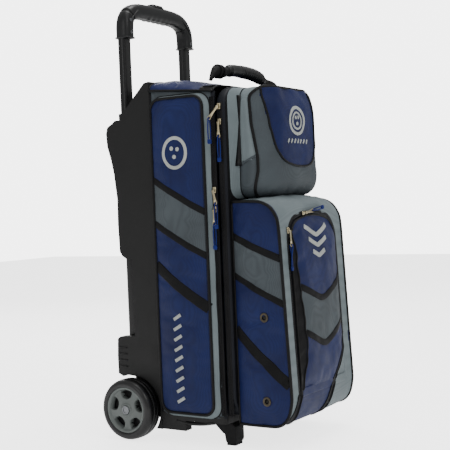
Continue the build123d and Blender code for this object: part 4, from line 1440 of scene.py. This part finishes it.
# ---------------------------------------------------------------- pull handle's grip
grip = Shape()
GRIP_Y = 172.45
GRIP_POWER = 2 / 2.7
centre = [(111, 843.5), (111, 856), (110.5, 870), (107, 884), (98, 896), (84, 903.5),
          (66, 907), (40, 908.5), (14, 909)]
centre += [(-x, z) for x, z in reversed(centre)]
line = evened(curve_through([mm(x, GRIP_Y, z) for x, z in centre], 8), 0.003)
loops = []
for i, point in enumerate(line):
    tangent = heading(line, i).normalized()
    lift = -SOUTH.cross(tangent).normalized()
    lift = lift if lift.z >= 0 or abs(point.x) > 0.1 else -lift
    x, z = point.x / MM, point.z / MM
    legs = smooth((893 - z) / 26)
    tall = lerp(16.6, 16.2, legs) + 1.0 * smooth((z - 868) / 20) * legs
    deep = lerp(16.0, 17.4, legs)
    step_in = -0.9 if z < 846.5 else 0.0
    loop = []
    for k in range(28):
        a = 2 * pi * k / 28
        c, d = cos(a), sin(a)
        out_y = squarish(c, GRIP_POWER) * (deep + step_in)
        out_z = squarish(d, GRIP_POWER) * (tall + step_in)
        if d < 0 and abs(x) < 58 and z > 890:
            out_z -= 1.9 * -d * (0.5 - 0.5 * cos((x + 44) * 2 * pi / 17.6)) * smooth(
                (50 - abs(x)) / 6)
        loop.append(point + (SOUTH * out_y + lift * out_z) * MM)
    loops.append(loop)
grip.loft(loops)
for side in SIDES.values():
    # ridge where the soft cover meets the frame, and the collar at each socket
    ridge = [mm(side * x, GRIP_Y - 17.0 + dy, z) for x, dy, z in
             ((116, 1.2, 846), (115, 0.3, 862), (112, 0.0, 876), (103, 0.2, 889),
              (90, 0.9, 900), (78, 2.6, 910), (70, 5.6, 917), (64, 10, 922), (60, 17, 924.6))]
    grip.tube(evened(curve_through(ridge, 5), 0.003), 0.0011)
    collar = oval(mm(side * 111, GRIP_Y, 845.2), mm(17.0, 0, 0), mm(0, 17.9, 0), 40, 0.6)
    grip.tube(collar, 0.0013, True, out=UP)
bezel = oval(mm(0, GRIP_Y, 924.6), mm(22.5, 0, 0), mm(0, 11.2, 0), 40, 0.5)
grip.tube(bezel, 0.0012, True, out=UP)
grip.piece("pull_grip_moulding", [SMOOTH], "pull_handle", ["grip"], "grip")

# ---------------------------------------------------------------- wheels
AXLE = Vector((0, 159.45, 63.5))


def around(x, radius, angle):
    return (AXLE + Vector((x, radius * cos(angle), radius * sin(angle)))) * MM


def turned(steps, profile_at):
    """Rows of points about the axle: profile_at(angle) gives each row's (x, radius)."""
    return [[around(x, radius, 2 * pi * k / steps) for x, radius in
             profile_at(2 * pi * k / steps)] for k in range(steps)]


tyre_profile = [(138.6, 48.0), (180.6, 48.0), (181.4, 49.2), (182.0, 51.5), (182.1, 54.5),
                (181.2, 57.4), (179.0, 60.0), (175.6, 61.9), (171.0, 63.0), (166.0, 63.4),
                (165.2, 62.6), (164.2, 62.6), (163.4, 63.5), (156.0, 63.5), (155.2, 62.6),
                (154.2, 62.6), (153.4, 63.4), (148.0, 63.0), (143.6, 61.9), (140.2, 60.0),
                (138.0, 57.4), (137.1, 54.5), (137.2, 51.5), (137.8, 49.2)]
SPOKES = 5


def rim_depth(radius, angle):
    """How far the rim's outer face is from the bag's middle, at a radius and angle."""
    dish = table([(6.4, 171.0), (8.6, 171.0), (9.4, 178.6), (11.6, 179.4), (13.2, 178.2),
                  (14.4, 176.6), (24, 175.6), (38, 174.6), (41, 175.6), (43.4, 179.6),
                  (45.2, 180.9), (47.0, 180.5), (47.9, 179.6)], radius)
    turn_in = (angle - pi / 2) * SPOKES / (2 * pi)
    off = (turn_in - round(turn_in)) * 2 * pi / SPOKES * radius
    window = (off / 14.6) ** 2 + ((radius - 39.6) / 17.0) ** 2
    open_share = smooth((1.0 - window) / 0.18) * smooth((41.0 - radius) / 1.2)
    return dish - 15.0 * open_share


rim_radii = [6.4, 8.6, 9.4, 10.4, 11.6, 13.2, 14.4]
rim_radii += [lerp(15.6, 39.6, k / 22) for k in range(23)]
rim_radii += [40.3, 41, 42.2, 43.4, 44.3, 45.2, 46.1, 47.0, 47.9]
barrel = [(139.5, 47.9), (139.5, 43.5), (151, 43.5), (151, 17), (141, 17), (141, 6.4)]


def rim_pick(p):
    """Near-black painted shade inside the windows and on the inner barrel, grey elsewhere."""
    radius = sqrt((p.y - AXLE.y * MM) ** 2 + (p.z - AXLE.z * MM) ** 2) / MM
    return 1 if abs(p.x) / MM < 167.5 and 12 < radius < 42 else 0


for name, side in SIDES.items():
    tyre = Shape()
    tyre.loft(turned(120, lambda angle: [(side * x, r) for x, r in tyre_profile]), closed=True)
    tyre.piece("tyre_" + name + "_moulding", [TYRE], name + "_wheel", ["tyre_" + name], "tyre")
    rim = Shape()
    # the windows' recessed floors and the inner barrel take the near-black painted shade
    rim.loft(turned(200, lambda angle: [(side * rim_depth(r, angle), r) for r in rim_radii]
                    + [(side * x, r) for x, r in barrel]), rim_pick, closed=True)
    rim.piece("rim_" + name + "_moulding", [RIM, HOLE_SHADE], name + "_wheel", ["rim_" + name],
              "rim")

# ---------------------------------------------------------------- moulded details on the back
back = Shape()
for k in range(7):
    x = lerp(-66, 66, k / 6)
    back.tube(evened([mm(x, 167.6, 178), mm(x, 167.6, 622)], 0.02), 0.0042, sides=12, flat=0.6,
              out=SOUTH)
for x, z in [(side * x, z) for side in SIDES.values()
             for x, z in ((70, 150), (30, 184), (70, 616), (30, 652))]:
    for radius, y in ((5.2, 193.5), (3.4, 193.3)):
        back.tube(oval(mm(x, y, z), mm(radius, 0, 0), mm(0, 0, radius), 20), 0.0009, True,
                  out=SOUTH)
for side in SIDES.values():
    for z in (150, 163, 176, 189):
        back.tube(evened([mm(side * 150.3, 172, z), mm(side * 150.3, 193, z)], 0.005), 0.0016,
                  sides=10)
    bump = [mm(side * 146, y, z) for y, z in ((-40, 47), (-10, 42), (22, 41), (50, 45))]
    back.tube(evened(curve_through(bump, 4), 0.004), 0.0055, sides=12, flat=0.7, out=UP)
back.piece("shell_moulded_details", [SHELL], "bag", slot="shell")
